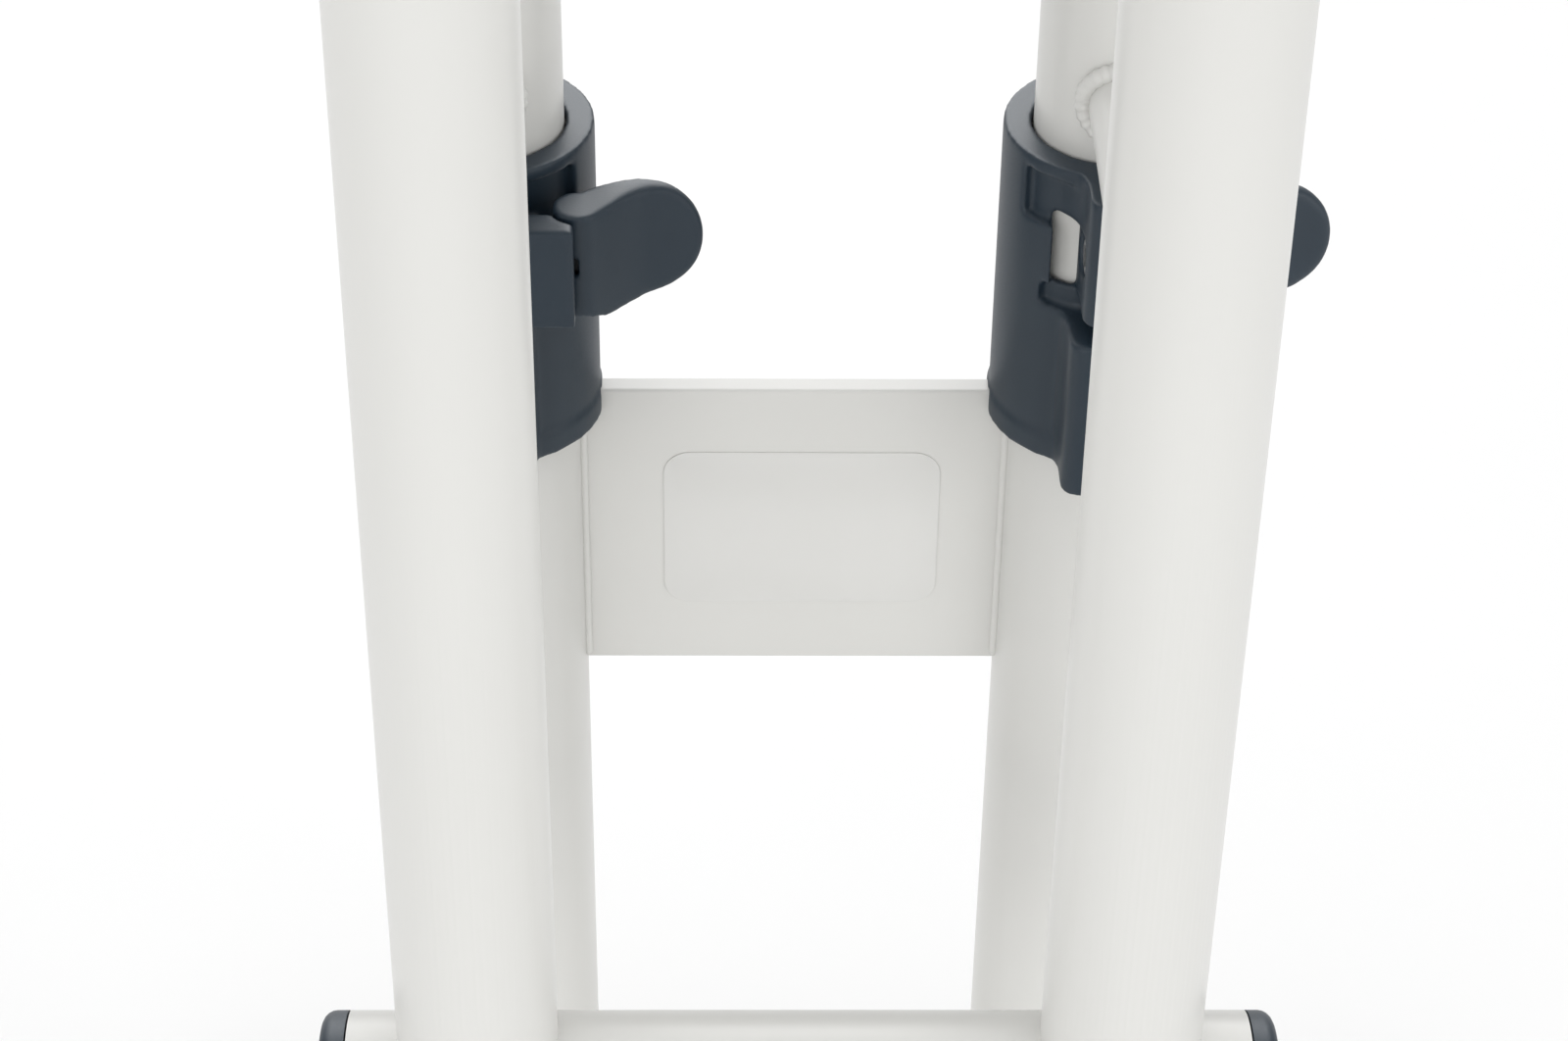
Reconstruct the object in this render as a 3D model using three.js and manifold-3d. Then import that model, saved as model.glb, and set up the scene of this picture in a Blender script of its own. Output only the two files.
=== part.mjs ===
// A height-adjustable bike display stand, in millimetres.
// X runs across the stand, Y away from its front, and Z up from the floor.
// Two posts stand on a frame of foot tubes and rails. A carrier of two hooked tubes slides in
// the posts, and a quick-release clamp at the top of each post holds it at its height.

import * as THREE from "three";
import { mergeVertices } from "three/addons/utils/BufferGeometryUtils.js";
import Module from "manifold-3d";

const wasm = await Module();
wasm.setup();

// Layout
const tubeSpacing = 101.6; // left tube to right tube, centre to centre
const planeSpacing = 101.6; // front tubes to posts, centre to centre
const collarTopHeight = 370; // floor to the top of the clamp collars
const gap = 0.3; // between seated or welded pieces
const overrun = 3; // how far a cutter reaches past what it cuts
const weldTolerance = 0.0001; // vertices closer than this are one

// Round sections
const tubeSides = 24;
const plugSides = 18;
const collarSides = 40;
const smallSides = 14;
const socketSides = 6;
const cornerSteps = 4;

// Posts and cross plate
const postDiameter = 28.6;
const postWall = 1.2;
const postSlotWidth = 2;
const postSlotDepth = 46;
const plateTuck = 3.9; // how far the plate's top reaches up into the collars
const plateHeight = 59;
const plateThickness = 4;
const labelWidth = 48;
const labelHeight = 33;
const labelCorner = 4.5;
const labelThickness = 0.25;
const labelOffset = 1.4; // right of the plate's centre

// Base
const baseDiameter = 31.8;
const baseWall = 1.6;
const footSpan = 300; // length over the end plugs
const footSpacing = 280; // front foot tube to rear foot tube, centre to centre
const padThickness = 4; // rubber below the foot tubes
const padLength = 30;
const padWidth = 24;
const padHeight = 11;
const padCorner = 6;
const padInset = 26; // foot tube end to the middle of its pad
const gussetLength = 46;
const gussetHeight = 52;
const gussetThickness = 4;
const gussetNose = 4; // blunt height at the gusset's tip

// Carrier
const carrierDiameter = 25.4;
const carrierWall = 1.6;
const bendRise = 100; // collar top to the centre of the hook's bend
const bendSteps = 16;
const insertDepth = 220; // collar top down to the lower end of the inner tube
const strutDiameter = 11;
const strutRise = 10.8; // collar top to the strut's axis
const braceDiameter = 19;
const braceWall = 1.5;
const braceRise = 60; // collar top to the brace's axis
const barDrop = 119; // collar top down to the bar's axis
const barLength = 152; // over the end plugs
const sleeveThickness = 3.2;
const sleeveSpread = 144; // degrees of the bend that the rubber sleeve covers
const sleeveSteps = 13;

// End plugs
const plugHead = 4.1;
const plugRound = 2;
const plugStem = 14;
const glideHead = 5;
const plugArcSteps = 2;

// Clamp collars
const collarHeight = 56.8;
const collarWall = 3;
const collarLip = 2.5; // the lid that covers the post's rim
const collarRim = 0.5; // how far the lower rim stands out
const collarRimHeight = 4.4;
const collarBevel = 0.5;
const slitWidth = 2;
const earForward = 8.9; // the ears' front faces beyond the collar's wall
const earCorner = 3;
const lowerEarReach = 7; // middle of the slit to the lower ears' outer faces
const upperEarReach = 5.3; // middle of the slit to the upper left ear's outer face
const hornReach = 14.6; // middle of the slit to the tip of the horn before the lever's hub
const flankReach = 3.6; // how far the hollow corner beside an ear runs along the wall
const flankForward = 4; // and how far it runs along the ear
const recessDrop = 2.4; // collar top to the top of the hollow band
const recessDepth = 1.7;
const recessHeight = 8.9;
const recessSpread = 112; // degrees
const recessSteps = 6;
const hollowNear = 4; // middle of the slit to the hollow behind the upper right ear
const hollowForward = 3.1; // how far the hollow runs out from the collar's wall
const hollowDrop = 9.5; // collar top to its floor
const reliefSpread = 82; // degrees
const reliefHeight = 4;
const windowNear = 5.6; // middle of the slit to the window's near side
const windowWidth = 4.2;
const windowDrop = 9.5;
const windowHeight = 13.2;

// Levers, bolts and pins
const leverHeight = 20.6;
const leverDrop = 4.5; // collar top to the lever's top edge
const leverFlare = 1.6; // how far the paddle's lower edge drops below the hub's
const hubRadius = 4;
const hubNear = 11; // middle of the slit to the near side of the hub's pocket
const camOffset = 0.4; // the hub's centre lies this far from the pin, towards the ear
const pinForward = 1.2; // pin's axis beyond the collar's wall
const pinDiameter = 3;
const pinChamfer = 0.4;
const pinProud = 0.5; // how far the pin's lower end stands out of the hub
const pinCover = 2.2; // of the hub over the pin's upper end
const boltDiameter = 3;
const eyeDiameter = 5.6; // the ring at the bolt's end, round the pin
const nutFlats = 5.5;
const nutHeight = 2.3;
const leverSwing = 60; // degrees the hub's slot leaves the lever to open
const earSeam = 1.8; // between the lever's lower edge and the lower ears
const leverReach = 19.5; // pin to the paddle's tip
const leverSetBack = 4.8; // the tip's front face lies this far behind the pin
const leverTipThickness = 2.4;
const leverTipRadius = 9.4; // the rounded end seen from the front
const leverRise = 1; // degrees, how steeply the rounded end starts at the lower edge
const leverCurveSteps = 8;
const screwDiameter = 4;
const screwHeadDiameter = 7;
const screwHeadHeight = 3.6;
const screwDrop = 43; // collar top to the screw's axis
const screwBlind = 1.5; // plastic left over the screw's far end

// Worked out from the sizes above
const postRadius = postDiameter / 2;
const carrierRadius = carrierDiameter / 2;
const baseRadius = baseDiameter / 2;
const tubeX = tubeSpacing / 2;
const postY = planeSpacing / 2;
const frontY = -planeSpacing / 2;
const baseAxisHeight = padThickness + baseRadius;
const footY = footSpacing / 2;
const barHeight = collarTopHeight - barDrop;
const bendHeight = collarTopHeight + bendRise;
const collarRadius = postRadius + gap + collarWall;
const pinX = hubNear + gap + camOffset + hubRadius;
const pinY = -(collarRadius + pinForward);
const plateDrop = collarHeight - plateTuck; // collar top to plate top
const plateTop = collarTopHeight - plateDrop;
const screwY = -(collarRadius + earForward / 2);
const hubHeight = leverHeight - leverFlare;
const boltZ = -leverDrop - hubHeight / 2;
const nutRadius = nutFlats / Math.sqrt(3);
const nutSeat = gap + nutHeight - upperEarReach;

// Materials
const whitePaint = { color: 0xe9e8e2, roughness: 0.22, metalness: 0.0 };
const blackNylon = { color: 0x2b3035, roughness: 0.6, metalness: 0.0 };
const blackRubber = { color: 0x1c1d1e, roughness: 0.85, metalness: 0.0 };
const blackSteel = { color: 0x2e3236, roughness: 0.45, metalness: 0.3 };
const zincSteel = { color: 0x9a9da0, roughness: 0.38, metalness: 1.0 };
const clearFilm = { color: 0xeceae4, roughness: 0.35, metalness: 0.0 };

// A closed three.js geometry as a solid that can be joined and cut.
function solidOf(geometry) {
  const bare = geometry.clone();
  bare.deleteAttribute("normal");
  bare.deleteAttribute("uv");
  const merged = mergeVertices(bare, weldTolerance);
  return new wasm.Manifold(
    new wasm.Mesh({
      numProp: 3,
      vertProperties: merged.attributes.position.array,
      triVerts: new Uint32Array(merged.index.array),
    }),
  );
}

// The solid as a three.js geometry again.
function geometryOf(body) {
  const { vertProperties, triVerts } = body.getMesh();
  const geometry = new THREE.BufferGeometry();
  geometry.setAttribute("position", new THREE.BufferAttribute(vertProperties, 3));
  geometry.setIndex(new THREE.BufferAttribute(triVerts, 1));
  geometry.computeVertexNormals();
  return geometry;
}

function piece(name, body, finish) {
  const mesh = new THREE.Mesh(geometryOf(body), new THREE.MeshStandardMaterial(finish));
  mesh.name = name;
  return mesh;
}

function point(x, y, z) {
  return new THREE.Vector3(x, y, z);
}

// A round bar from one point to another.
function rod(radius, from, to, sides = tubeSides) {
  const along = to.clone().sub(from);
  const geometry = new THREE.CylinderGeometry(radius, radius, along.length(), sides);
  const turn = new THREE.Quaternion().setFromUnitVectors(point(0, 1, 0), along.normalize());
  geometry.applyQuaternion(turn);
  const middle = from.clone().add(to).multiplyScalar(0.5);
  return solidOf(geometry.translate(middle.x, middle.y, middle.z));
}

// A round bar like rod, longer by the overrun at both ends, for cutting.
function drill(radius, from, to, sides = tubeSides) {
  const past = to.clone().sub(from).normalize().multiplyScalar(overrun);
  return rod(radius, from.clone().sub(past), to.clone().add(past), sides);
}

function tube(diameter, wall, from, to) {
  const bore = drill(diameter / 2 - wall, from, to);
  return rod(diameter / 2, from, to).subtract(bore);
}

// A block between two corners.
function block(low, high) {
  const size = high.clone().sub(low);
  const middle = low.clone().add(high).multiplyScalar(0.5);
  const geometry = new THREE.BoxGeometry(size.x, size.y, size.z);
  return solidOf(geometry.translate(middle.x, middle.y, middle.z));
}

// A flat outline in X and Y, made into a solid between two heights.
function slab(outline, low, high, curveSegments = leverCurveSteps) {
  const depth = high - low;
  const geometry = new THREE.ExtrudeGeometry(outline, {
    depth,
    curveSegments,
    bevelEnabled: false,
  });
  return solidOf(geometry.translate(0, 0, low));
}

function roundedOutline(left, right, back, front, corner) {
  const outline = new THREE.Shape();
  outline.moveTo(left + corner, back);
  outline.lineTo(right - corner, back);
  outline.absarc(right - corner, back + corner, corner, -Math.PI / 2, 0);
  outline.absarc(right - corner, front - corner, corner, 0, Math.PI / 2);
  outline.absarc(left + corner, front - corner, corner, Math.PI / 2, Math.PI);
  outline.absarc(left + corner, back + corner, corner, Math.PI, 1.5 * Math.PI);
  return outline;
}

// A profile of radius and height, turned about Z.
function turned(profile, sides = tubeSides) {
  const geometry = new THREE.LatheGeometry(profile, sides);
  return solidOf(geometry.rotateX(Math.PI / 2));
}

// Part of a ring about Z, as an outline: spread is in radians, centred on the front.
function ringOutline(inner, outer, spread) {
  const start = -Math.PI / 2 - spread / 2;
  const outline = new THREE.Shape();
  outline.absarc(0, 0, outer, start, start + spread, false);
  outline.absarc(0, 0, inner, start + spread, start, true);
  return outline;
}

// An arc in the plane of Y and Z, from the rear over the top to the front. With legs, the first
// and the last step are straight runs down from the arc's two ends.
class HookPath extends THREE.Curve {
  constructor(startAngle, sweep, arcSteps, rearLeg = 0, frontLeg = 0) {
    super();
    const legs = rearLeg > 0 ? 1 : 0;
    Object.assign(this, { startAngle, sweep, arcSteps, rearLeg, frontLeg, legs });
  }

  place(share) {
    const step = share * (this.arcSteps + 2 * this.legs) - this.legs;
    const onArc = Math.min(Math.max(step, 0), this.arcSteps);
    const angle = this.startAngle + (onArc / this.arcSteps) * this.sweep;
    const past = (step - onArc) * (step < 0 ? this.rearLeg : this.frontLeg);
    return { angle, past };
  }

  getPointAt(share) {
    const { angle, past } = this.place(share);
    const onCircle = point(0, Math.cos(angle), Math.sin(angle)).multiplyScalar(planeSpacing / 2);
    return onCircle.addScaledVector(this.getTangentAt(share), past);
  }

  getTangentAt(share) {
    const { angle } = this.place(share);
    return point(0, -Math.sin(angle), Math.cos(angle));
  }
}

// The hooked tube's outside or its bore, in one sweep: two straight legs and half a turn.
function hook(radius, x, rearEnd, frontEnd) {
  const path = new HookPath(0, Math.PI, bendSteps, bendHeight - rearEnd, bendHeight - frontEnd);
  const section = new THREE.Shape().absarc(0, 0, radius, 0, 2 * Math.PI);
  const geometry = new THREE.ExtrudeGeometry(section, {
    extrudePath: path,
    steps: bendSteps + 2,
    curveSegments: tubeSides / 2,
    bevelEnabled: false,
  });
  return solidOf(geometry.translate(x, 0, bendHeight));
}

// Base: foot tubes, rails, rubber pads and gussets

const footEnd = footSpan / 2 - plugHead - gap;

function footTube(y) {
  const axis = baseAxisHeight;
  return tube(baseDiameter, baseWall, point(-footEnd, y, axis), point(footEnd, y, axis));
}

function footCutter(y) {
  const axis = baseAxisHeight;
  return drill(baseRadius + gap, point(-footEnd, y, axis), point(footEnd, y, axis));
}

function baseRail(x) {
  const axis = baseAxisHeight;
  return tube(baseDiameter, baseWall, point(x, -footY, axis), point(x, footY, axis))
    .subtract(footCutter(-footY))
    .subtract(footCutter(footY));
}

function rubberPad(x, y) {
  const outline = roundedOutline(
    x - padLength / 2,
    x + padLength / 2,
    y - padWidth / 2,
    y + padWidth / 2,
    padCorner,
  );
  return slab(outline, 0, padHeight, cornerSteps).subtract(footCutter(y));
}

// side is 1 for the gusset behind the post and -1 for the one in front of it.
function gusset(x, side) {
  const railTop = baseAxisHeight + baseRadius + gap;
  const near = postRadius + gap;
  const far = near + gussetLength;
  const outline = new THREE.Shape();
  outline.moveTo(near, railTop);
  outline.lineTo(far, railTop);
  outline.lineTo(far, railTop + gussetNose);
  outline.lineTo(near + gussetNose, railTop + gussetHeight);
  outline.lineTo(near, railTop + gussetHeight);
  const geometry = new THREE.ExtrudeGeometry(outline, {
    depth: gussetThickness,
    bevelEnabled: false,
  });
  geometry.translate(0, 0, -gussetThickness / 2).rotateX(Math.PI / 2);
  geometry.rotateZ((side * Math.PI) / 2);
  return solidOf(geometry.translate(x, postY, 0));
}

// Plug profile: a stem inside the tube and a rounded head over its end, pointing up.
function endPlug(diameter, wall, headHeight = plugHead) {
  const radius = diameter / 2;
  const stem = radius - wall - gap;
  const corner = Math.min(plugRound, headHeight);
  const profile = [
    new THREE.Vector2(0, -plugStem),
    new THREE.Vector2(stem, -plugStem),
    new THREE.Vector2(stem, 0),
    new THREE.Vector2(radius, 0),
  ];
  for (let step = 0; step <= plugArcSteps; step += 1) {
    const angle = (step / plugArcSteps) * (Math.PI / 2);
    const x = radius - corner + corner * Math.cos(angle);
    const y = headHeight - corner + corner * Math.sin(angle);
    profile.push(new THREE.Vector2(x, y));
  }
  profile.push(new THREE.Vector2(0, headHeight));
  return profile;
}

// A plug in the end of a tube along X: side is 1 for the right end and -1 for the left.
function sidePlug(name, diameter, wall, tubeEnd, y, z, side) {
  const geometry = new THREE.LatheGeometry(endPlug(diameter, wall), plugSides);
  geometry.rotateZ((-side * Math.PI) / 2);
  const mesh = piece(name, solidOf(geometry), blackNylon);
  mesh.position.set(side * (tubeEnd + gap), y, z);
  return mesh;
}

// Posts, cross plate and label

const postTop = collarTopHeight - collarLip - gap;

function post(x) {
  const slot = block(
    point(x - postSlotWidth / 2, postY - postRadius - overrun, postTop - postSlotDepth),
    point(x + postSlotWidth / 2, postY, postTop + overrun),
  );
  const rail = drill(
    baseRadius + gap,
    point(x, postY - postRadius, baseAxisHeight),
    point(x, postY + postRadius, baseAxisHeight),
  );
  return tube(
    postDiameter,
    postWall,
    point(x, postY, baseAxisHeight),
    point(x, postY, postTop),
  )
    .subtract(slot)
    .subtract(rail);
}

// The web between the posts: it starts at their axes and is cut back round both.
function crossPlate() {
  let plate = block(
    point(-tubeX, postY - plateThickness / 2, plateTop - plateHeight),
    point(tubeX, postY + plateThickness / 2, plateTop),
  );
  for (const x of [-tubeX, tubeX]) {
    const clear = drill(
      postRadius + gap,
      point(x, postY, plateTop - plateHeight),
      point(x, postY, plateTop),
    );
    plate = plate.subtract(clear);
  }
  return plate;
}

// The label's place on the plate's front, left bare.
function labelBlank() {
  const middle = plateTop - plateHeight / 2;
  const outline = roundedOutline(
    labelOffset - labelWidth / 2,
    labelOffset + labelWidth / 2,
    middle - labelHeight / 2,
    middle + labelHeight / 2,
    labelCorner,
  );
  const geometry = new THREE.ExtrudeGeometry(outline, {
    depth: labelThickness,
    curveSegments: cornerSteps,
    bevelEnabled: false,
  });
  geometry.rotateX(Math.PI / 2);
  return solidOf(geometry.translate(0, postY - plateThickness / 2, 0));
}

// Clamps, in a frame whose origin is the middle of the collar's top face

function collarShell() {
  const rim = collarRadius + collarRim;
  const bottom = -collarHeight;
  const profile = [
    new THREE.Vector2(0, bottom),
    new THREE.Vector2(rim - collarRim, bottom),
    new THREE.Vector2(rim, bottom + collarRim),
    new THREE.Vector2(rim, bottom + collarRimHeight - collarRim),
    new THREE.Vector2(collarRadius, bottom + collarRimHeight),
    new THREE.Vector2(collarRadius, -collarBevel),
    new THREE.Vector2(collarRadius - collarBevel, 0),
    new THREE.Vector2(0, 0),
  ];
  return turned(profile, collarSides);
}

// A band cut into the wall between two heights, across the collar's front. Spread is in degrees.
function recess(top, bottom, spread) {
  const outline = ringOutline(
    collarRadius - recessDepth,
    collarRadius + overrun,
    THREE.MathUtils.degToRad(spread),
  );
  return slab(outline, bottom, top, recessSteps);
}

const earFront = -collarRadius - earForward;
const earBack = -postRadius;
const lowerEarTop = -leverDrop - leverHeight - earSeam;

// The hollow corner between the wall and an ear's outer face: side is 1 for right, -1 for left.
function flank(side, reach, low, high) {
  const far = reach + flankReach;
  const corner = -Math.sqrt(collarRadius ** 2 - reach ** 2);
  const onWall = -Math.sqrt((collarRadius - recessDepth) ** 2 - far ** 2);
  const outline = new THREE.Shape();
  outline.moveTo(side * far, onWall);
  outline.quadraticCurveTo(side * reach, corner, side * reach, corner - flankForward);
  outline.lineTo(0, corner - flankForward);
  outline.lineTo(0, onWall);
  return slab(outline, low, high, cornerSteps);
}

// The upper left ear stands as high as the collar, with a hollow corner over the window.
function upperLeftEar() {
  const bottom = -leverDrop - hubHeight + gap;
  const outline = roundedOutline(-upperEarReach, slitWidth, earFront, earBack + earCorner, earCorner);
  return slab(outline, bottom, 0, cornerSteps).add(flank(-1, upperEarReach, -windowDrop, 0));
}

// The upper right ear stops below the lever's top and reaches round the hub's front as a horn.
function upperRightEar() {
  const outline = new THREE.Shape();
  outline.moveTo(0, earFront);
  outline.lineTo(hornReach, earFront);
  outline.lineTo(hornReach, pinY);
  outline.lineTo(hubNear, pinY);
  outline.lineTo(hubNear, earBack);
  outline.lineTo(0, earBack);
  return slab(outline, -leverDrop - hubHeight + gap, -leverDrop - gap);
}

// The hollow behind the upper right ear's top, as deep as the recess above it.
function earHollow() {
  const front = -collarRadius - hollowForward;
  const wall = drill(collarRadius - recessDepth, point(0, 0, -hollowDrop), point(0, 0, -leverDrop));
  return block(point(hollowNear, front, -hollowDrop), point(hornReach, earBack, -leverDrop))
    .subtract(wall);
}

function lowerEars() {
  const outline = roundedOutline(
    -lowerEarReach,
    lowerEarReach,
    earFront,
    earBack + earCorner,
    earCorner,
  );
  return slab(outline, -collarHeight, lowerEarTop, cornerSteps)
    .add(flank(-1, lowerEarReach, -collarHeight, lowerEarTop))
    .add(flank(1, lowerEarReach, -collarHeight, lowerEarTop));
}

function clampWindow() {
  return block(
    point(-windowNear - windowWidth, -collarRadius - overrun, -windowDrop - windowHeight),
    point(-windowNear, 0, -windowDrop),
  );
}

// A round bar along X on the bolt's axis, from the left end to the right one.
function boltRod(radius, left, right) {
  return rod(radius, point(left, pinY, boltZ), point(right, pinY, boltZ), smallSides);
}

function clampCollar() {
  const reliefTop = -windowDrop - windowHeight;
  const hubPocket = rod(
    hubRadius + camOffset + gap,
    point(pinX, pinY, lowerEarTop),
    point(pinX, pinY, -recessDrop),
  );
  const slit = block(
    point(-slitWidth / 2, earFront - overrun, -collarHeight - overrun),
    point(slitWidth / 2, 0, overrun),
  );
  const bore = rod(
    postRadius + gap,
    point(0, 0, -collarHeight - overrun),
    point(0, 0, -collarLip),
  );
  const lipBore = rod(carrierRadius + gap, point(0, 0, -collarHeight), point(0, 0, overrun));
  const plateNotch = block(
    point(-tubeX, -plateThickness / 2 - gap, -plateDrop - plateHeight),
    point(tubeX, plateThickness / 2 + gap, -plateDrop + gap),
  );
  const screwHole = rod(
    screwDiameter / 2 + gap,
    point(screwBlind - lowerEarReach, screwY, -screwDrop),
    point(lowerEarReach, screwY, -screwDrop),
    smallSides,
  );
  const screwSeat = rod(
    screwHeadDiameter / 2 + gap,
    point(lowerEarReach - screwHeadHeight - gap, screwY, -screwDrop),
    point(lowerEarReach + overrun, screwY, -screwDrop),
    smallSides,
  );
  let collar = collarShell()
    .subtract(recess(-recessDrop, -recessDrop - recessHeight, recessSpread))
    .subtract(recess(reliefTop, reliefTop - reliefHeight, reliefSpread))
    .subtract(clampWindow())
    .add(upperLeftEar())
    .add(upperRightEar())
    .add(lowerEars());
  const past = -upperEarReach - overrun;
  const cutters = [
    hubPocket,
    boltRod(boltDiameter / 2 + gap, past, pinX),
    boltRod(nutRadius + gap, past, nutSeat + gap),
    earHollow(),
    slit,
    bore,
    lipBore,
    plateNotch,
    screwHole,
    screwSeat,
  ];
  for (const cutter of cutters) {
    collar = collar.subtract(cutter);
  }
  return collar;
}

function clampScrew() {
  const tip = point(screwBlind + gap - lowerEarReach, screwY, -screwDrop);
  const seat = point(lowerEarReach - screwHeadHeight, screwY, -screwDrop);
  const end = point(lowerEarReach, screwY, -screwDrop);
  const socket = drill(
    screwDiameter / 2,
    point(lowerEarReach - screwHeadHeight / 2 + overrun, screwY, -screwDrop),
    point(lowerEarReach + overrun, screwY, -screwDrop),
    socketSides,
  );
  return rod(screwDiameter / 2, tip, end, smallSides)
    .add(rod(screwHeadDiameter / 2, seat, end, smallSides))
    .subtract(socket);
}

// The paddle seen from above: it leaves the hub's front, sweeps back and thins to its tip. Its
// bends are shares of the reach from the pin and of the way to the tip's front or back face.
function paddlePlan() {
  const tipX = pinX + leverReach;
  const tipFront = pinY + leverSetBack;
  const tipBack = tipFront + leverTipThickness;
  const rootShare = 0.03;
  const frontBendShares = [[0.236, 0.197], [0.348, 1]];
  const backBendShares = [0.122, 1.186];
  const outline = new THREE.Shape();
  outline.moveTo(pinX - camOffset, pinY - hubRadius);
  outline.lineTo(pinX + rootShare * leverReach, pinY - hubRadius);
  outline.bezierCurveTo(
    pinX + frontBendShares[0][0] * leverReach,
    pinY + frontBendShares[0][1] * leverSetBack,
    pinX + frontBendShares[1][0] * leverReach,
    pinY + frontBendShares[1][1] * leverSetBack,
    tipX,
    tipFront,
  );
  outline.lineTo(tipX, tipBack);
  outline.quadraticCurveTo(
    pinX + backBendShares[0] * leverReach,
    pinY + backBendShares[1] * (tipBack - pinY),
    pinX,
    pinY + hubRadius - camOffset,
  );
  return outline;
}

// The paddle seen from the front: its top is straight, its end round, and its lower edge drops
// beside the hub and rises towards the end.
function paddleFace() {
  const low = -leverDrop - leverHeight;
  const middleX = pinX + leverReach - leverTipRadius;
  const middleZ = -leverDrop - leverTipRadius;
  const endAngle = THREE.MathUtils.degToRad(leverRise) - Math.PI / 2;
  const outline = new THREE.Shape();
  outline.moveTo(0, low + leverFlare);
  outline.lineTo(pinX, low + leverFlare);
  outline.lineTo(pinX + hubRadius, low);
  outline.absarc(middleX, middleZ, leverTipRadius, endAngle, Math.PI / 2, false);
  outline.lineTo(0, -leverDrop);
  return outline;
}

// Room in the hub for the bolt and its eye, which stay still while the lever swings.
function boltSlot() {
  const room = boltDiameter / 2 + gap;
  const reach = 2 * hubRadius;
  const last = Math.PI + THREE.MathUtils.degToRad(leverSwing);
  const edgeX = pinX - room * Math.sin(last);
  const edgeY = pinY + room * Math.cos(last);
  const outline = new THREE.Shape();
  outline.moveTo(pinX - reach, pinY + room);
  outline.lineTo(pinX + room, pinY + room);
  outline.lineTo(edgeX, edgeY);
  outline.lineTo(edgeX + reach * Math.cos(last), edgeY + reach * Math.sin(last));
  outline.lineTo(pinX - reach, pinY - reach);
  const low = boltZ - room;
  const high = boltZ + room;
  const eyeRoom = rod(eyeDiameter / 2 + gap, point(pinX, pinY, low), point(pinX, pinY, high));
  return slab(outline, low, high).add(eyeRoom);
}

function clampLever() {
  const top = -leverDrop;
  const bottom = top - leverHeight;
  const hubX = pinX - camOffset;
  const hub = rod(hubRadius, point(hubX, pinY, bottom), point(hubX, pinY, top));
  const pinHole = rod(
    pinDiameter / 2 + gap,
    point(pinX, pinY, bottom - overrun),
    point(pinX, pinY, top - pinCover + gap),
    smallSides,
  );
  const depth = collarRadius + pinForward + hubRadius + overrun;
  const face = new THREE.ExtrudeGeometry(paddleFace(), {
    depth,
    curveSegments: leverCurveSteps,
    bevelEnabled: false,
  });
  face.rotateX(Math.PI / 2);
  return hub
    .add(slab(paddlePlan(), bottom, top))
    .intersect(solidOf(face))
    .subtract(pinHole)
    .subtract(boltSlot());
}

// The bolt draws the ears together: its eye goes round the pin, and its end lies in the nut.
function clampBolt() {
  const low = point(pinX, pinY, boltZ - boltDiameter / 2);
  const high = point(pinX, pinY, boltZ + boltDiameter / 2);
  return boltRod(boltDiameter / 2, gap - upperEarReach, pinX)
    .add(rod(eyeDiameter / 2, low, high))
    .subtract(drill(pinDiameter / 2 + gap, low, high, smallSides));
}

// The nut in the upper left ear.
function clampNut() {
  const left = point(gap - upperEarReach, pinY, boltZ);
  const right = point(nutSeat, pinY, boltZ);
  return rod(nutRadius, left, right, socketSides)
    .subtract(drill(boltDiameter / 2 + gap, left, right, smallSides));
}

// The upright pin in the lever's hub, which holds the bolt's eye.
function leverPin() {
  const radius = pinDiameter / 2;
  const top = -leverDrop - pinCover;
  const bottom = -leverDrop - hubHeight - pinProud;
  const profile = [
    new THREE.Vector2(0, bottom),
    new THREE.Vector2(radius - pinChamfer, bottom),
    new THREE.Vector2(radius, bottom + pinChamfer),
    new THREE.Vector2(radius, top - pinChamfer),
    new THREE.Vector2(radius - pinChamfer, top),
    new THREE.Vector2(0, top),
  ];
  const geometry = new THREE.LatheGeometry(profile, smallSides).rotateX(Math.PI / 2);
  return solidOf(geometry.translate(pinX, pinY, 0));
}

// The six pieces of one clamp. Both clamps are the same way round.
function clampSet(side, x) {
  const set = new THREE.Group();
  set.add(
    piece(`clamp_collar_${side}`, clampCollar(), blackNylon),
    piece(`clamp_lever_${side}`, clampLever(), blackNylon),
    piece(`clamp_bolt_${side}`, clampBolt(), blackSteel),
    piece(`clamp_nut_${side}`, clampNut(), zincSteel),
    piece(`lever_pin_${side}`, leverPin(), blackSteel),
    piece(`collar_screw_${side}`, clampScrew(), zincSteel),
  );
  set.position.set(x, postY, collarTopHeight);
  return set;
}

// Carrier: hooked tubes, struts, brace, bar, rubber sleeves and glide plugs

const barEnd = barLength / 2 - plugHead - gap;

function barCutter() {
  const past = tubeX + carrierRadius;
  return drill(
    carrierRadius + gap,
    point(-past, frontY, barHeight),
    point(past, frontY, barHeight),
  );
}

function carrierTube(x) {
  const rearEnd = collarTopHeight - insertDepth;
  const bore = hook(carrierRadius - carrierWall, x, rearEnd - overrun, barHeight - overrun);
  return hook(carrierRadius, x, rearEnd, barHeight).subtract(bore).subtract(barCutter());
}

// The upright tubes of one side as one cutter, for what is welded between or against them.
function legCutter(x, y, height) {
  return rod(
    carrierRadius + gap,
    point(x, y, height - strutDiameter - braceDiameter),
    point(x, y, height + strutDiameter + braceDiameter),
  );
}

function carrierStrut(x) {
  const height = collarTopHeight + strutRise;
  return rod(
    strutDiameter / 2,
    point(x, frontY, height),
    point(x, postY, height),
    smallSides,
  )
    .subtract(legCutter(x, frontY, height))
    .subtract(legCutter(x, postY, height));
}

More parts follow.
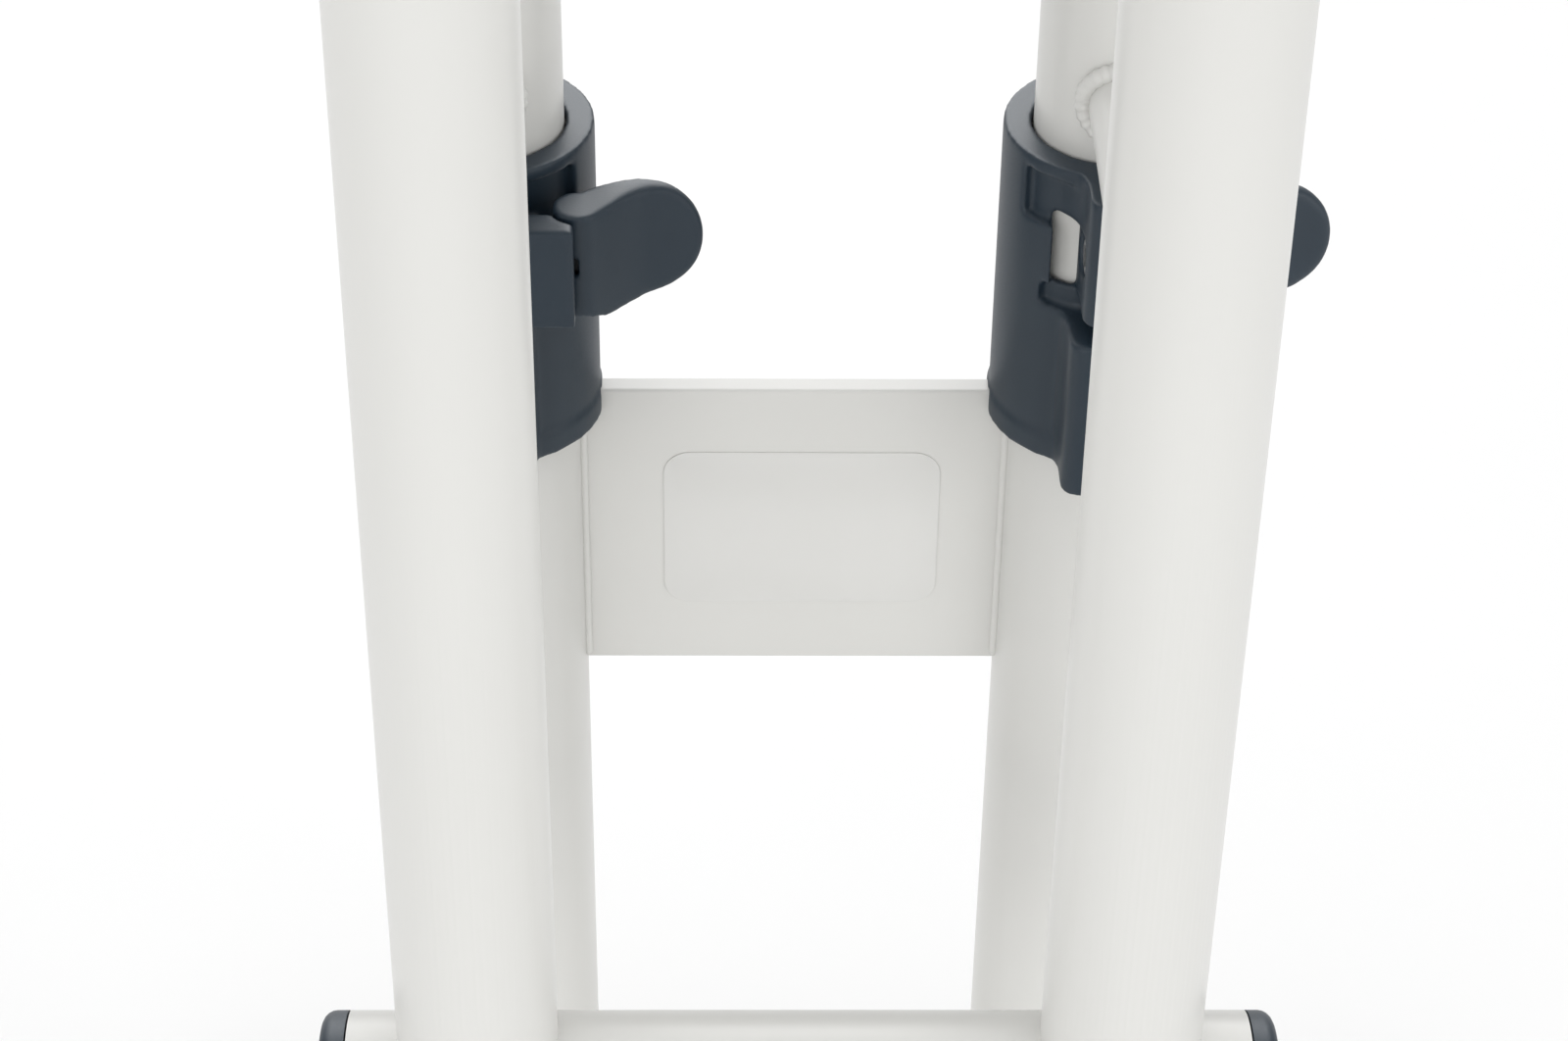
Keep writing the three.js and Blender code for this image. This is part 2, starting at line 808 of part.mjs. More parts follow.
function carrierBrace() {
  const height = collarTopHeight + braceRise;
  return tube(braceDiameter, braceWall, point(-tubeX, postY, height), point(tubeX, postY, height))
    .subtract(legCutter(-tubeX, postY, height))
    .subtract(legCutter(tubeX, postY, height));
}

function saddleSleeve(x) {
  const spread = THREE.MathUtils.degToRad(sleeveSpread);
  const inner = carrierRadius + gap;
  const section = new THREE.Shape().absarc(0, 0, inner + sleeveThickness, 0, 2 * Math.PI);
  section.holes.push(new THREE.Path().absarc(0, 0, inner, 0, 2 * Math.PI));
  const geometry = new THREE.ExtrudeGeometry(section, {
    extrudePath: new HookPath((Math.PI - spread) / 2, spread, sleeveSteps),
    steps: sleeveSteps,
    curveSegments: tubeSides / 2,
    bevelEnabled: false,
  });
  return solidOf(geometry.translate(x, 0, bendHeight));
}

// A plug at the lower end of the inner tube that glides in the post.
function glidePlug(name, x) {
  const glideDiameter = postDiameter - 2 * postWall - 2 * gap;
  const stemWall = (glideDiameter - carrierDiameter) / 2 + carrierWall;
  const geometry = new THREE.LatheGeometry(
    endPlug(glideDiameter, stemWall, glideHead),
    plugSides,
  );
  geometry.rotateX(-Math.PI / 2);
  const mesh = piece(name, solidOf(geometry), blackNylon);
  mesh.position.set(x, postY, collarTopHeight - insertDepth - gap);
  return mesh;
}

// The whole stand

const stand = new THREE.Group();

for (const [side, sign] of [["left", -1], ["right", 1]]) {
  const x = sign * tubeX;
  stand.add(
    piece(`base_rail_${side}`, baseRail(x), whitePaint),
    piece(`post_${side}`, post(x), whitePaint),
    piece(`post_gusset_${side}_front`, gusset(x, -1), whitePaint),
    piece(`post_gusset_${side}_rear`, gusset(x, 1), whitePaint),
    clampSet(side, x),
    piece(`carrier_tube_${side}`, carrierTube(x), whitePaint),
    piece(`carrier_strut_${side}`, carrierStrut(x), whitePaint),
    piece(`saddle_sleeve_${side}`, saddleSleeve(x), blackRubber),
    glidePlug(`glide_plug_${side}`, x),
    sidePlug(`bar_plug_${side}`, carrierDiameter, carrierWall, barEnd, frontY, barHeight, sign),
  );
  for (const [end, y] of [["front", -footY], ["rear", footY]]) {
    const padX = sign * (footEnd - padInset);
    const name = `foot_plug_${end}_${side}`;
    stand.add(
      sidePlug(name, baseDiameter, baseWall, footEnd, y, baseAxisHeight, sign),
      piece(`rubber_pad_${end}_${side}`, rubberPad(padX, y), blackRubber),
    );
  }
}

stand.add(
  piece("foot_tube_front", footTube(-footY), whitePaint),
  piece("foot_tube_rear", footTube(footY), whitePaint),
  piece("cross_plate", crossPlate(), whitePaint),
  piece("label_blank", labelBlank(), clearFilm),
  piece("carrier_brace", carrierBrace(), whitePaint),
  piece(
    "crank_stop_bar",
    tube(
      carrierDiameter,
      carrierWall,
      point(-barEnd, frontY, barHeight),
      point(barEnd, frontY, barHeight),
    ),
    whitePaint,
  ),
);

export default stand;
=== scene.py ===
# Looks of the height-adjustable bike display stand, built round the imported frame.
# Every piece is modelled in millimetres and scaled to metres when it is finished.
import math
import random

import bmesh
import bpy
from mathutils import Matrix, Vector
from mathutils.geometry import interpolate_bezier


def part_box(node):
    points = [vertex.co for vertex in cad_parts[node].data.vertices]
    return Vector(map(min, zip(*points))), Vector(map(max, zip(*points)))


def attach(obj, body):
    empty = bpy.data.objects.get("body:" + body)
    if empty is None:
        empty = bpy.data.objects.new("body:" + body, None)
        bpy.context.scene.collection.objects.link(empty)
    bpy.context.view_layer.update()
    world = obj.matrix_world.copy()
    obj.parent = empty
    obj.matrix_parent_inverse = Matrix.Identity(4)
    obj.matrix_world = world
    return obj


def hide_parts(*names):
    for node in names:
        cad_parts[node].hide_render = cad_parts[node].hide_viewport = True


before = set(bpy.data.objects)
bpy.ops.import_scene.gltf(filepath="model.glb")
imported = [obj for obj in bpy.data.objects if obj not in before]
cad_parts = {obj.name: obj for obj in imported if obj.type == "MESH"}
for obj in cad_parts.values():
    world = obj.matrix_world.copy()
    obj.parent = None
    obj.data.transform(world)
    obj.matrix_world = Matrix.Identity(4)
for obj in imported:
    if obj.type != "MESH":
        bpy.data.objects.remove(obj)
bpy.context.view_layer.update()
print("frame loaded")


def cornersOf(node):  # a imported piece's lowest and highest corners, in millimetres
    return [1000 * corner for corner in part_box(node)]


def middleOf(node):
    low, high = cornersOf(node)
    return (low + high) / 2


stand = {  # the layout that all pieces share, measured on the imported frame
    "tubeX": middleOf("post_right").x,
    "postY": middleOf("post_right").y,
    "frontY": middleOf("crank_stop_bar").y,
    "collarTop": cornersOf("clamp_collar_right")[1].z,
    "bendZ": cornersOf("carrier_tube_right")[1].z - cornersOf("carrier_tube_right")[1].y,
    "rearEndZ": cornersOf("carrier_tube_right")[0].z,
    "barZ": middleOf("crank_stop_bar").z,
    "barEnd": cornersOf("crank_stop_bar")[1].x,
    "postTop": cornersOf("post_right")[1].z,
    "plateTop": cornersOf("cross_plate")[1].z,
    "footY": middleOf("foot_tube_rear").y,
    "footEnd": cornersOf("foot_tube_rear")[1].x,
    "footZ": middleOf("foot_tube_rear").z,
    "fit": 0.3,  # slack between pieces that slide or snap together
    "sink": 0.05,  # how far welded pieces reach into each other
    "past": 3,  # how far a cutter reaches past what it cuts
}
roundness = {  # how many sides a round thing has
    "hexagon": 6, "bore": 32, "pinBore": 40, "shaft": 48, "eye": 64, "tube": 72, "large": 96,
    "joint": 120, "collar": 128,
}
hands = {"Left": -1, "Right": 1}
toMetres = Matrix.Scale(0.001, 4)
upright = Matrix.Identity(4)
alongX = Matrix.Rotation(math.radians(90), 4, "Y")
alongY = Matrix.Rotation(math.radians(-90), 4, "X")


# Modelling helpers

def facesOf(geometry):
    return [g for g in geometry if isinstance(g, bmesh.types.BMFace)]


def vertsOf(geometry):
    return [g for g in geometry if isinstance(g, bmesh.types.BMVert)]


def circleEdges(mesh, radius, matrix, sides):
    circle = bmesh.ops.create_circle(mesh, segments=sides, radius=radius, matrix=matrix)
    return list({e for v in circle["verts"] for e in v.link_edges})


def ringFaces(mesh, outer, inner, matrix, sides):  # a flat ring between two circles
    edges = circleEdges(mesh, outer, matrix, sides) + circleEdges(mesh, inner, matrix, sides)
    return bmesh.ops.bridge_loops(mesh, edges=edges)["faces"]


def pull(mesh, faces, move):  # extrudes faces and gives the new ones
    grown = bmesh.ops.extrude_face_region(mesh, geom=faces)["geom"]
    bmesh.ops.translate(mesh, vec=move, verts=vertsOf(grown))
    return facesOf(grown)


def sweep(mesh, faces, centre, angle, steps):  # turns faces about X and gives the last ones
    swept = bmesh.ops.spin(
        mesh, geom=faces, cent=centre, axis=(1, 0, 0), dvec=(0, 0, 0),
        angle=math.radians(angle), steps=steps,
    )
    return facesOf(swept["geom_last"])


def pointOut(mesh):
    bmesh.ops.remove_doubles(mesh, verts=mesh.verts, dist=0.0005)
    bmesh.ops.recalc_face_normals(mesh, faces=mesh.faces)
    return mesh


def pipe(diameter, wall, start, length, turn):  # a straight tube from its start
    mesh = bmesh.new()
    radius = diameter / 2
    matrix = Matrix.Translation(start) @ turn
    faces = ringFaces(mesh, radius, radius - wall, matrix, roundness["tube"])
    pull(mesh, faces, turn.to_3x3() @ Vector((0, 0, length)))
    return pointOut(mesh)


def rod(radius, start, length, turn, sides=roundness["tube"]):  # a solid round bar from its start
    mesh = bmesh.new()
    matrix = Matrix.Translation(start) @ turn
    bmesh.ops.create_circle(mesh, cap_ends=True, segments=sides, radius=radius, matrix=matrix)
    pull(mesh, list(mesh.faces), turn.to_3x3() @ Vector((0, 0, length)))
    return pointOut(mesh)


def slab(outline, low, high, corners=(), radius=0.0, steps=6):  # an outline with height
    mesh = bmesh.new()
    points = [mesh.verts.new((x, y, low)) for x, y in outline]
    mesh.faces.new(points)
    if radius:
        roundOff(mesh, [points[i] for i in corners], radius, steps, "VERTICES")
    pull(mesh, list(mesh.faces), (0, 0, high - low))
    return pointOut(mesh)


def rectangle(left, front, right, back):
    return [(left, front), (right, front), (right, back), (left, back)]


def block(low, high):
    return slab(rectangle(low[0], low[1], high[0], high[1]), low[2], high[2])


def roundOff(mesh, geometry, size, steps=3, what="EDGES"):
    bmesh.ops.bevel(
        mesh, geom=geometry, offset=size, offset_type="OFFSET", affect=what,
        segments=steps, profile=0.5, material=-1,
    )


def sharpEdges(mesh, angle=40):
    limit = math.radians(angle)
    return [e for e in mesh.edges if e.is_manifold and e.calc_face_angle() > limit]


def turned(profile, sides, corners=()):  # a profile of radius and height, turned about Z
    mesh = bmesh.new()
    points = [mesh.verts.new((radius, 0, height)) for radius, height in profile]
    for pair in zip(points, points[1:]):
        mesh.edges.new(pair)
    for index, size in corners:
        roundOff(mesh, [points[index]], size, steps=5, what="VERTICES")
    bmesh.ops.spin(
        mesh, geom=mesh.verts[:] + mesh.edges[:], cent=(0, 0, 0), axis=(0, 0, 1),
        dvec=(0, 0, 0), angle=2 * math.pi, steps=sides, use_merge=True,
    )
    return pointOut(mesh)


def scratchObject(mesh):
    data = bpy.data.meshes.new("scratch")
    mesh.to_mesh(data)
    thing = bpy.data.objects.new("scratch", data)
    bpy.context.scene.collection.objects.link(thing)
    return thing


def applied(thing, *extras):  # the object's mesh with its modifiers, and the scratch removed
    mesh = bmesh.new()
    mesh.from_object(thing, bpy.context.evaluated_depsgraph_get())
    for old in (thing, *extras):
        data = old.data
        bpy.data.objects.remove(old)
        bpy.data.meshes.remove(data)
    return mesh


def combined(mesh, steps):  # steps are pairs of a boolean's name and the mesh it uses
    thing = scratchObject(mesh)
    extras = []
    for operation, other in steps:
        extras.append(scratchObject(other))
        step = thing.modifiers.new(operation, "BOOLEAN")
        step.operation = operation
        step.solver = "EXACT"
        step.object = extras[-1]
    return applied(thing, *extras)


def carved(mesh, *cutters):
    return combined(mesh, [("DIFFERENCE", cutter) for cutter in cutters])


def moulded(mesh, grain, passes):  # one skin with soft edges, as from a mould
    thing = scratchObject(mesh)
    step = thing.modifiers.new("skin", "REMESH")
    step.mode = "VOXEL"
    step.voxel_size = grain
    mesh = applied(thing)
    softened(mesh, mesh.verts, passes)
    return mesh


def softened(mesh, verts, passes):
    for _ in range(passes):
        bmesh.ops.smooth_vert(
            mesh, verts=verts, factor=0.5, use_axis_x=True, use_axis_y=True, use_axis_z=True
        )


def moved(mesh, place):
    bmesh.ops.translate(mesh, vec=place, verts=mesh.verts)
    return mesh


def rotated(mesh, angle, axis):
    turn = Matrix.Rotation(math.radians(angle), 4, axis)
    bmesh.ops.transform(mesh, matrix=turn, verts=mesh.verts)
    return mesh


def bent(start, bend, end, count):  # points on a curve that heads for the bend from both ends
    share = 2 / 3  # gives a cubic curve the form of one with a single handle
    return interpolate_bezier(
        start, start.lerp(bend, share), end.lerp(bend, share), end, count
    )


def finished(name, mesh, body, slot, nodes, crease=38):
    bmesh.ops.transform(mesh, matrix=toMetres, verts=mesh.verts)
    data = bpy.data.meshes.new(name)
    mesh.to_mesh(data)
    mesh.free()
    for face in data.polygons:
        face.use_smooth = True
    data.set_sharp_from_angle(angle=math.radians(crease))
    data.materials.append(finishes[slot])
    piece = bpy.data.objects.new(name, data)
    bpy.context.scene.collection.objects.link(piece)
    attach(piece, body)
    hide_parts(*nodes)


# Weld beads

welds = {
    "ripple": 0.2, "pitch": 1.5, "step": 0.38, "sides": 12, "wander": 0.05, "seed": 11,
    "tip": 0.45, "growth": 0.25,  # shares of an open bead's size, at its end and more per step
    "seat": 0.4,  # share of a bead's size by which its middle stands off both tubes
    "fewest": 4,  # steps in a straight line
}
random.seed(welds["seed"])


def bead(mesh, path, size, closed=True, ripple=1.0):  # a rippled bead along a path of points
    loops = []
    reach = 0.0
    count = len(path)
    for index, place in enumerate(path):
        before = path[index - 1] if closed or index else place
        after = path[(index + 1) % count] if closed or index < count - 1 else place
        turn = (after - before).to_track_quat("Z", "Y").to_matrix().to_4x4()
        reach += (place - path[index - 1]).length if index else 0
        wave = abs(math.sin(math.pi * reach / welds["pitch"]))
        inward = welds["growth"] * min(index, count - 1 - index)
        fall = 1.0 if closed else min(1.0, welds["tip"] + inward)
        uneven = welds["ripple"] * (wave - 0.5) + random.uniform(-welds["wander"], welds["wander"])
        radius = size * fall * (1 + ripple * uneven)
        matrix = Matrix.Translation(place) @ turn
        isEnd = not closed and index in (0, count - 1)
        circle = bmesh.ops.create_circle(
            mesh, cap_ends=isEnd, segments=welds["sides"], radius=radius, matrix=matrix
        )
        loops.append(list({e for v in circle["verts"] for e in v.link_edges}))
    pairs = list(zip(loops, loops[1:]))
    if closed:
        pairs.append((loops[-1], loops[0]))
    for first, second in pairs:
        bmesh.ops.bridge_loops(mesh, edges=first + second)
    return mesh


def roundJoint(small, big, centre, along, across, beside, size):
    # the line where a round tube ends on another, at least as big: along leads away from the
    # bigger tube, across is square to both, beside is the bigger tube's own direction
    rise = small + size * welds["seat"]
    reach = big + size * welds["seat"]
    steps = int(2 * math.pi * rise / welds["step"])
    path = []
    for index in range(steps):
        angle = 2 * math.pi * index / steps
        off = rise * math.cos(angle)
        out = math.sqrt(max(reach ** 2 - off ** 2, 0))
        path.append(
            Vector(centre) + off * Vector(across) + rise * math.sin(angle) * Vector(beside)
            + out * Vector(along)
        )
    return path


def straightLine(start, end):
    start, end = Vector(start), Vector(end)
    steps = max(welds["fewest"], int((end - start).length / welds["step"]))
    return [start.lerp(end, index / steps) for index in range(steps + 1)]


# Finishes: a noise is its scale, its detail and, where it isn't 0.5, its roughness, and a bump is
# its strength and its depth in metres

noiseSpan = (0.25, 0.75)  # where most of a noise's values lie
cloudStops = (0.3, 0.7)  # where a cloud reaches its two colours


def newFinish(name, values):
    material = bpy.data.materials.new(name)
    material.use_nodes = True
    nodes = material.node_tree.nodes
    shader = nodes["Principled BSDF"]
    for socket, value in values.items():
        shader.inputs[socket].default_value = value
    coords = nodes.new("ShaderNodeTexCoord")
    return material, nodes, material.node_tree.links, shader, coords.outputs["Object"]


def noiseOf(nodes, links, coords, scale, detail=2.0, roughness=0.5):
    noise = nodes.new("ShaderNodeTexNoise")
    noise.inputs["Scale"].default_value = scale
    noise.inputs["Detail"].default_value = detail
    noise.inputs["Roughness"].default_value = roughness
    links.new(coords, noise.inputs["Vector"])
    return noise.outputs["Fac"]


def rampOf(nodes, links, source, stops):
    ramp = nodes.new("ShaderNodeValToRGB")
    band = ramp.color_ramp
    while len(band.elements) < len(stops):
        band.elements.new(0.5)
    for element, (place, colour) in zip(band.elements, stops):
        element.position = place
        element.color = (*colour, 1)
    links.new(source, ramp.inputs["Fac"])
    return ramp.outputs["Color"]


def spanOf(nodes, links, source, low, high):
    span = nodes.new("ShaderNodeMapRange")
    span.inputs["From Min"].default_value = noiseSpan[0]
    span.inputs["From Max"].default_value = noiseSpan[1]
    span.inputs["To Min"].default_value = low
    span.inputs["To Max"].default_value = high
    links.new(source, span.inputs["Value"])
    return span.outputs["Result"]


def bumpOf(nodes, links, source, strength, distance, under=None):
    bump = nodes.new("ShaderNodeBump")
    bump.inputs["Strength"].default_value = strength
    bump.inputs["Distance"].default_value = distance
    links.new(source, bump.inputs["Height"])
    if under:
        links.new(under, bump.inputs["Normal"])
    return bump.outputs["Normal"]


def cloudColour(nodes, links, coords, shader, look):  # two near colours in soft clouds
    cloud = noiseOf(nodes, links, coords, *look["cloud"])
    stops = zip(cloudStops, (look["shade"], look["light"]))
    links.new(rampOf(nodes, links, cloud, list(stops)), shader.inputs["Base Color"])


paintLook = {  # gloss powder coat, a warm white
    "light": (0.69, 0.687, 0.664),
    "shade": (0.678, 0.674, 0.65),
    "cloud": (9, 3),
    "level": 0.3,
    "rough": (0.3, 0.34),
    "haze": (45, 4),
    "peel": (480, 2),
    "grain": (2600, 1),
    "peelBump": (0.12, 0.00002),
    "grainBump": (0.08, 0.00002 / 3),
}


def paintFinish(name, look):
    material, nodes, links, shader, coords = newFinish(name, {"Specular IOR Level": look["level"]})
    cloudColour(nodes, links, coords, shader, look)
    haze = noiseOf(nodes, links, coords, *look["haze"])
    links.new(spanOf(nodes, links, haze, *look["rough"]), shader.inputs["Roughness"])
    peel = noiseOf(nodes, links, coords, *look["peel"])
    grain = noiseOf(nodes, links, coords, *look["grain"])
    normal = bumpOf(nodes, links, peel, *look["peelBump"])
    normal = bumpOf(nodes, links, grain, *look["grainBump"], normal)
    links.new(normal, shader.inputs["Normal"])
    return material


nylonLook = {  # moulded plastic with a fine matte texture
    "light": (0.0145, 0.0275, 0.042),
    "shade": (0.0125, 0.0245, 0.0385),
    "cloud": (60, 4),
    "level": 0.45,
    "rough": (0.42, 0.5),
    "grain": (3400, 3, 0.6),
    "grainBump": (0.35, 0.00004),
}
rubberLook = {
    "light": (0.022, 0.022, 0.023),
    "shade": (0.013, 0.013, 0.014),
    "cloud": (90, 4),
    "level": 0.35,
    "rough": (0.7, 0.85),
    "grain": (1900, 3, 0.6),
    "grainBump": (0.35, 0.00009),
}


def grainFinish(name, look):
    material, nodes, links, shader, coords = newFinish(name, {"Specular IOR Level": look["level"]})
    cloudColour(nodes, links, coords, shader, look)
    grain = noiseOf(nodes, links, coords, *look["grain"])
    links.new(spanOf(nodes, links, grain, *look["rough"]), shader.inputs["Roughness"])
    links.new(bumpOf(nodes, links, grain, *look["grainBump"]), shader.inputs["Normal"])
    return material


blackSteelLook = {
    "light": (0.045, 0.048, 0.052),
    "shade": (0.028, 0.03, 0.033),
    "cloud": (120, 4),
    "metallic": 0.35,
    "rough": (0.3, 0.45),
    "stretch": (1.0, 1.0, 1.0),
    "scratch": (900, 3),
    "scratchBump": (0.3, 0.00002),
}
zincLook = {
    "light": (0.62, 0.63, 0.64),
    "shade": (0.45, 0.46, 0.475),
    "cloud": (180, 4),
    "metallic": 1.0,
    "rough": (0.25, 0.42),
    "stretch": (1.0, 6.0, 6.0),
    "scratch": (1400, 3),
    "scratchBump": (0.3, 0.00002),
}


def metalFinish(name, look):
    material, nodes, links, shader, coords = newFinish(name, {"Metallic": look["metallic"]})
    mapping = nodes.new("ShaderNodeMapping")
    mapping.inputs["Scale"].default_value = look["stretch"]
    links.new(coords, mapping.inputs["Vector"])
    stretched = mapping.outputs["Vector"]
    cloudColour(nodes, links, stretched, shader, look)
    scratch = noiseOf(nodes, links, stretched, *look["scratch"])
    links.new(spanOf(nodes, links, scratch, *look["rough"]), shader.inputs["Roughness"])
    links.new(bumpOf(nodes, links, scratch, *look["scratchBump"]), shader.inputs["Normal"])
    return material


filmLook = {  # clear label film over the paint
    "light": (0.702, 0.699, 0.68),
    "shade": (0.69, 0.686, 0.665),
    "cloud": (30, 3),
    "level": 0.45,
    "rough": (0.14, 0.2),
    "haze": (150, 4),
    "peel": (260, 2),
    "grain": (1500, 1),
    "peelBump": (0.12, 0.00002),
    "grainBump": (0.08, 0.00002 / 3),
}
finishes = {  # the finish of each material slot
    "white_paint": paintFinish("glossWhitePaint", paintLook),
    "black_nylon": grainFinish("blackNylon", nylonLook),
    "black_rubber": grainFinish("blackRubber", rubberLook),
    "black_steel": metalFinish("blackSteel", blackSteelLook),
    "zinc_steel": metalFinish("zincSteel", zincLook),
    "clear_film": paintFinish("clearLabelFilm", filmLook),
}
print("finishes made")


# Carrier: hooked tubes, struts, brace, bar, plugs and sleeves

hook = {"diameter": 25.4, "wall": 1.6, "bendSteps": 48}


def hookedTube(x):
    mesh = bmesh.new()
    radius = hook["diameter"] / 2
    start = Matrix.Translation((x, stand["postY"], stand["rearEndZ"]))
    faces = ringFaces(mesh, radius, radius - hook["wall"], start, roundness["tube"])
    faces = pull(mesh, faces, (0, 0, stand["bendZ"] - stand["rearEndZ"]))
    last = sweep(mesh, faces, (x, 0, stand["bendZ"]), 180, hook["bendSteps"])
    bmesh.ops.delete(mesh, geom=faces, context="FACES_ONLY")
    pull(mesh, last, (0, 0, stand["barZ"] - stand["bendZ"]))
    saddle = rod(radius, (x - 2 * radius, stand["frontY"], stand["barZ"]), 4 * radius, alongX,
                 roundness["joint"])
    return carved(pointOut(mesh), saddle)


def legCutter(x, y, z):  # hollows the end of a tube for a leg of the hooked tube
    radius = hook["diameter"] / 2
    return rod(radius - stand["sink"], (x, y, z - 2 * radius), 4 * radius, upright)


strut = {"diameter": 11, "wall": 1.2, "rise": 10.8, "weld": 1.5}


def strutTube(x):
    z = stand["collarTop"] + strut["rise"]
    reach = stand["postY"] - stand["frontY"]
    mesh = pipe(strut["diameter"], strut["wall"], (x, stand["frontY"], z), reach, alongY)
    ends = [(stand["frontY"], 1), (stand["postY"], -1)]
    mesh = carved(mesh, *(legCutter(x, y, z) for y, _ in ends))
    for y, side in ends:
        path = roundJoint(
            strut["diameter"] / 2, hook["diameter"] / 2, (x, y, z), (0, side, 0), (1, 0, 0),
            (0, 0, 1), strut["weld"],
        )
        bead(mesh, path, strut["weld"])
    return mesh


brace = {"diameter": 19, "wall": 1.5, "rise": 60, "weld": 1.5}


def braceTube():
    z = stand["collarTop"] + brace["rise"]
    start = (-stand["tubeX"], stand["postY"], z)
    mesh = pipe(brace["diameter"], brace["wall"], start, 2 * stand["tubeX"], alongX)
    ends = [(side * stand["tubeX"], side) for side in hands.values()]
    mesh = carved(mesh, *(legCutter(x, stand["postY"], z) for x, _ in ends))
    for x, side in ends:
        path = roundJoint(
            brace["diameter"] / 2, hook["diameter"] / 2, (x, stand["postY"], z), (-side, 0, 0),
            (0, 1, 0), (0, 0, 1), brace["weld"],
        )
        bead(mesh, path, brace["weld"])
    return mesh


crankBar = {"diameter": 25.4, "wall": 1.6}


def crankStopBar():
    start = (-stand["barEnd"], stand["frontY"], stand["barZ"])
    return pipe(crankBar["diameter"], crankBar["wall"], start, 2 * stand["barEnd"], alongX)


plug = {
    "head": 4.1, "round": 2.2, "stem": 14, "lead": 1.2, "rib": 0.25, "ribs": 3,
    "ribStart": 0.3, "ribLength": 0.5,  # shares of the ribs' pitch
    "ribSlope": 0.2,
}
glide = {"diameter": 25.6, "wall": 1.7, "head": 5}  # the plug that runs inside a post


def plugMesh(diameter, wall, head, rounding):  # its head looks up, its stem hangs down
    radius = diameter / 2
    stem = radius - wall - stand["fit"]
    profile = [(0, -plug["stem"]), (stem - plug["lead"], -plug["stem"]),
               (stem - plug["rib"], plug["lead"] - plug["stem"])]
    pitch = (plug["stem"] - 2 * plug["lead"]) / plug["ribs"]
    for index in range(plug["ribs"]):
        low = plug["lead"] - plug["stem"] + pitch * (index + plug["ribStart"])
        high = low + plug["ribLength"] * pitch
        profile += [(stem - plug["rib"], low), (stem, low + plug["ribSlope"]), (stem, high),
                    (stem - plug["rib"], high + plug["ribSlope"])]
    profile += [(stem - plug["rib"], 0), (radius, 0), (radius, head), (0, head)]
    return turned(profile, roundness["tube"], [(len(profile) - 2, rounding)])


def sidePlug(diameter, wall, tubeEnd, y, z, side):
    mesh = plugMesh(diameter, wall, plug["head"], plug["round"])
    return moved(rotated(mesh, 90 * side, "Y"), (side * (tubeEnd + stand["fit"]), y, z))


def glidePlug(x):
    mesh = plugMesh(glide["diameter"], glide["wall"], glide["head"], plug["round"])
    return moved(rotated(mesh, 180, "X"), (x, stand["postY"], stand["rearEndZ"] - stand["fit"]))


sleeve = {"gap": 0.3, "thickness": 3.2, "spread": 144, "steps": 60, "sides": 48, "lip": 1.1}


def saddleSleeve(x):
    mesh = bmesh.new()
    inner = hook["diameter"] / 2 + sleeve["gap"]
    lean = Matrix.Rotation(math.radians((180 - sleeve["spread"]) / 2), 4, "X")
    centre = Matrix.Translation((x, 0, stand["bendZ"]))
    start = centre @ lean @ Matrix.Translation((0, stand["postY"], 0))
    faces = ringFaces(mesh, inner + sleeve["thickness"], inner, start, sleeve["sides"])
    sweep(mesh, faces, (x, 0, stand["bendZ"]), sleeve["spread"], sleeve["steps"])
    pointOut(mesh)
    middle = inner + sleeve["thickness"] / 2
    ends = [e for e in sharpEdges(mesh, angle=60) if bendDistance(e, x) > middle]
    roundOff(mesh, ends, sleeve["lip"], steps=4)
    return mesh


def bendDistance(edge, x):  # how far an edge's middle lies from the bend's round axis
    place = (edge.verts[0].co + edge.verts[1].co) / 2
    flat = Vector((place.y, place.z - stand["bendZ"])).length - stand["postY"]
    return math.hypot(flat, place.x - x)


for hand, side in hands.items():
    x = side * stand["tubeX"]
    node = hand.lower()
    finished(f"hookedTube{hand}", hookedTube(x), "carrier", "white_paint",
             [f"carrier_tube_{node}"])
    finished(f"strut{hand}", strutTube(x), "carrier", "white_paint",
             [f"carrier_strut_{node}"], crease=60)
    finished(f"saddleSleeve{hand}", saddleSleeve(x), "carrier", "black_rubber",
             [f"saddle_sleeve_{node}"])
    barPlug = sidePlug(crankBar["diameter"], crankBar["wall"], stand["barEnd"],
                       stand["frontY"], stand["barZ"], side)
    finished(f"barPlug{hand}", barPlug, "carrier", "black_nylon", [f"bar_plug_{node}"])
    finished(f"glidePlug{hand}", glidePlug(x), "carrier", "black_nylon", [f"glide_plug_{node}"])
finished("carrierBrace", braceTube(), "carrier", "white_paint", ["carrier_brace"], crease=60)
finished("crankStopBar", crankStopBar(), "carrier", "white_paint", ["crank_stop_bar"])
print("carrier made")


# Posts, cross plate and label

post = {"diameter": 28.6, "wall": 1.2, "slot": 2, "slotDepth": 46, "weld": 1.6}


def postTube(x):
    radius = post["diameter"] / 2
    height = stand["postTop"] - stand["footZ"]
    foot = (x, stand["postY"], stand["footZ"])
    mesh = pipe(post["diameter"], post["wall"], foot, height, upright)
    rail = rod(base["diameter"] / 2 - stand["sink"],
               (x, stand["postY"] - 2 * radius, stand["footZ"]), 4 * radius, alongY)
    half = post["slot"] / 2
    slot = block((x - half, stand["postY"] - 2 * radius, stand["postTop"] - post["slotDepth"]),
                 (x + half, stand["postY"], stand["postTop"] + post["slot"]))
    mesh = carved(mesh, rail, slot)
    path = roundJoint(radius, base["diameter"] / 2, foot, (0, 0, 1), (1, 0, 0), (0, 1, 0),
                      post["weld"])
    return bead(mesh, path, post["weld"])


plate = {"height": 59, "thickness": 4, "edge": 0.6, "weld": 0.8, "weldSeat": 0.3,
         "weldShort": 1, "ripple": 0.15}


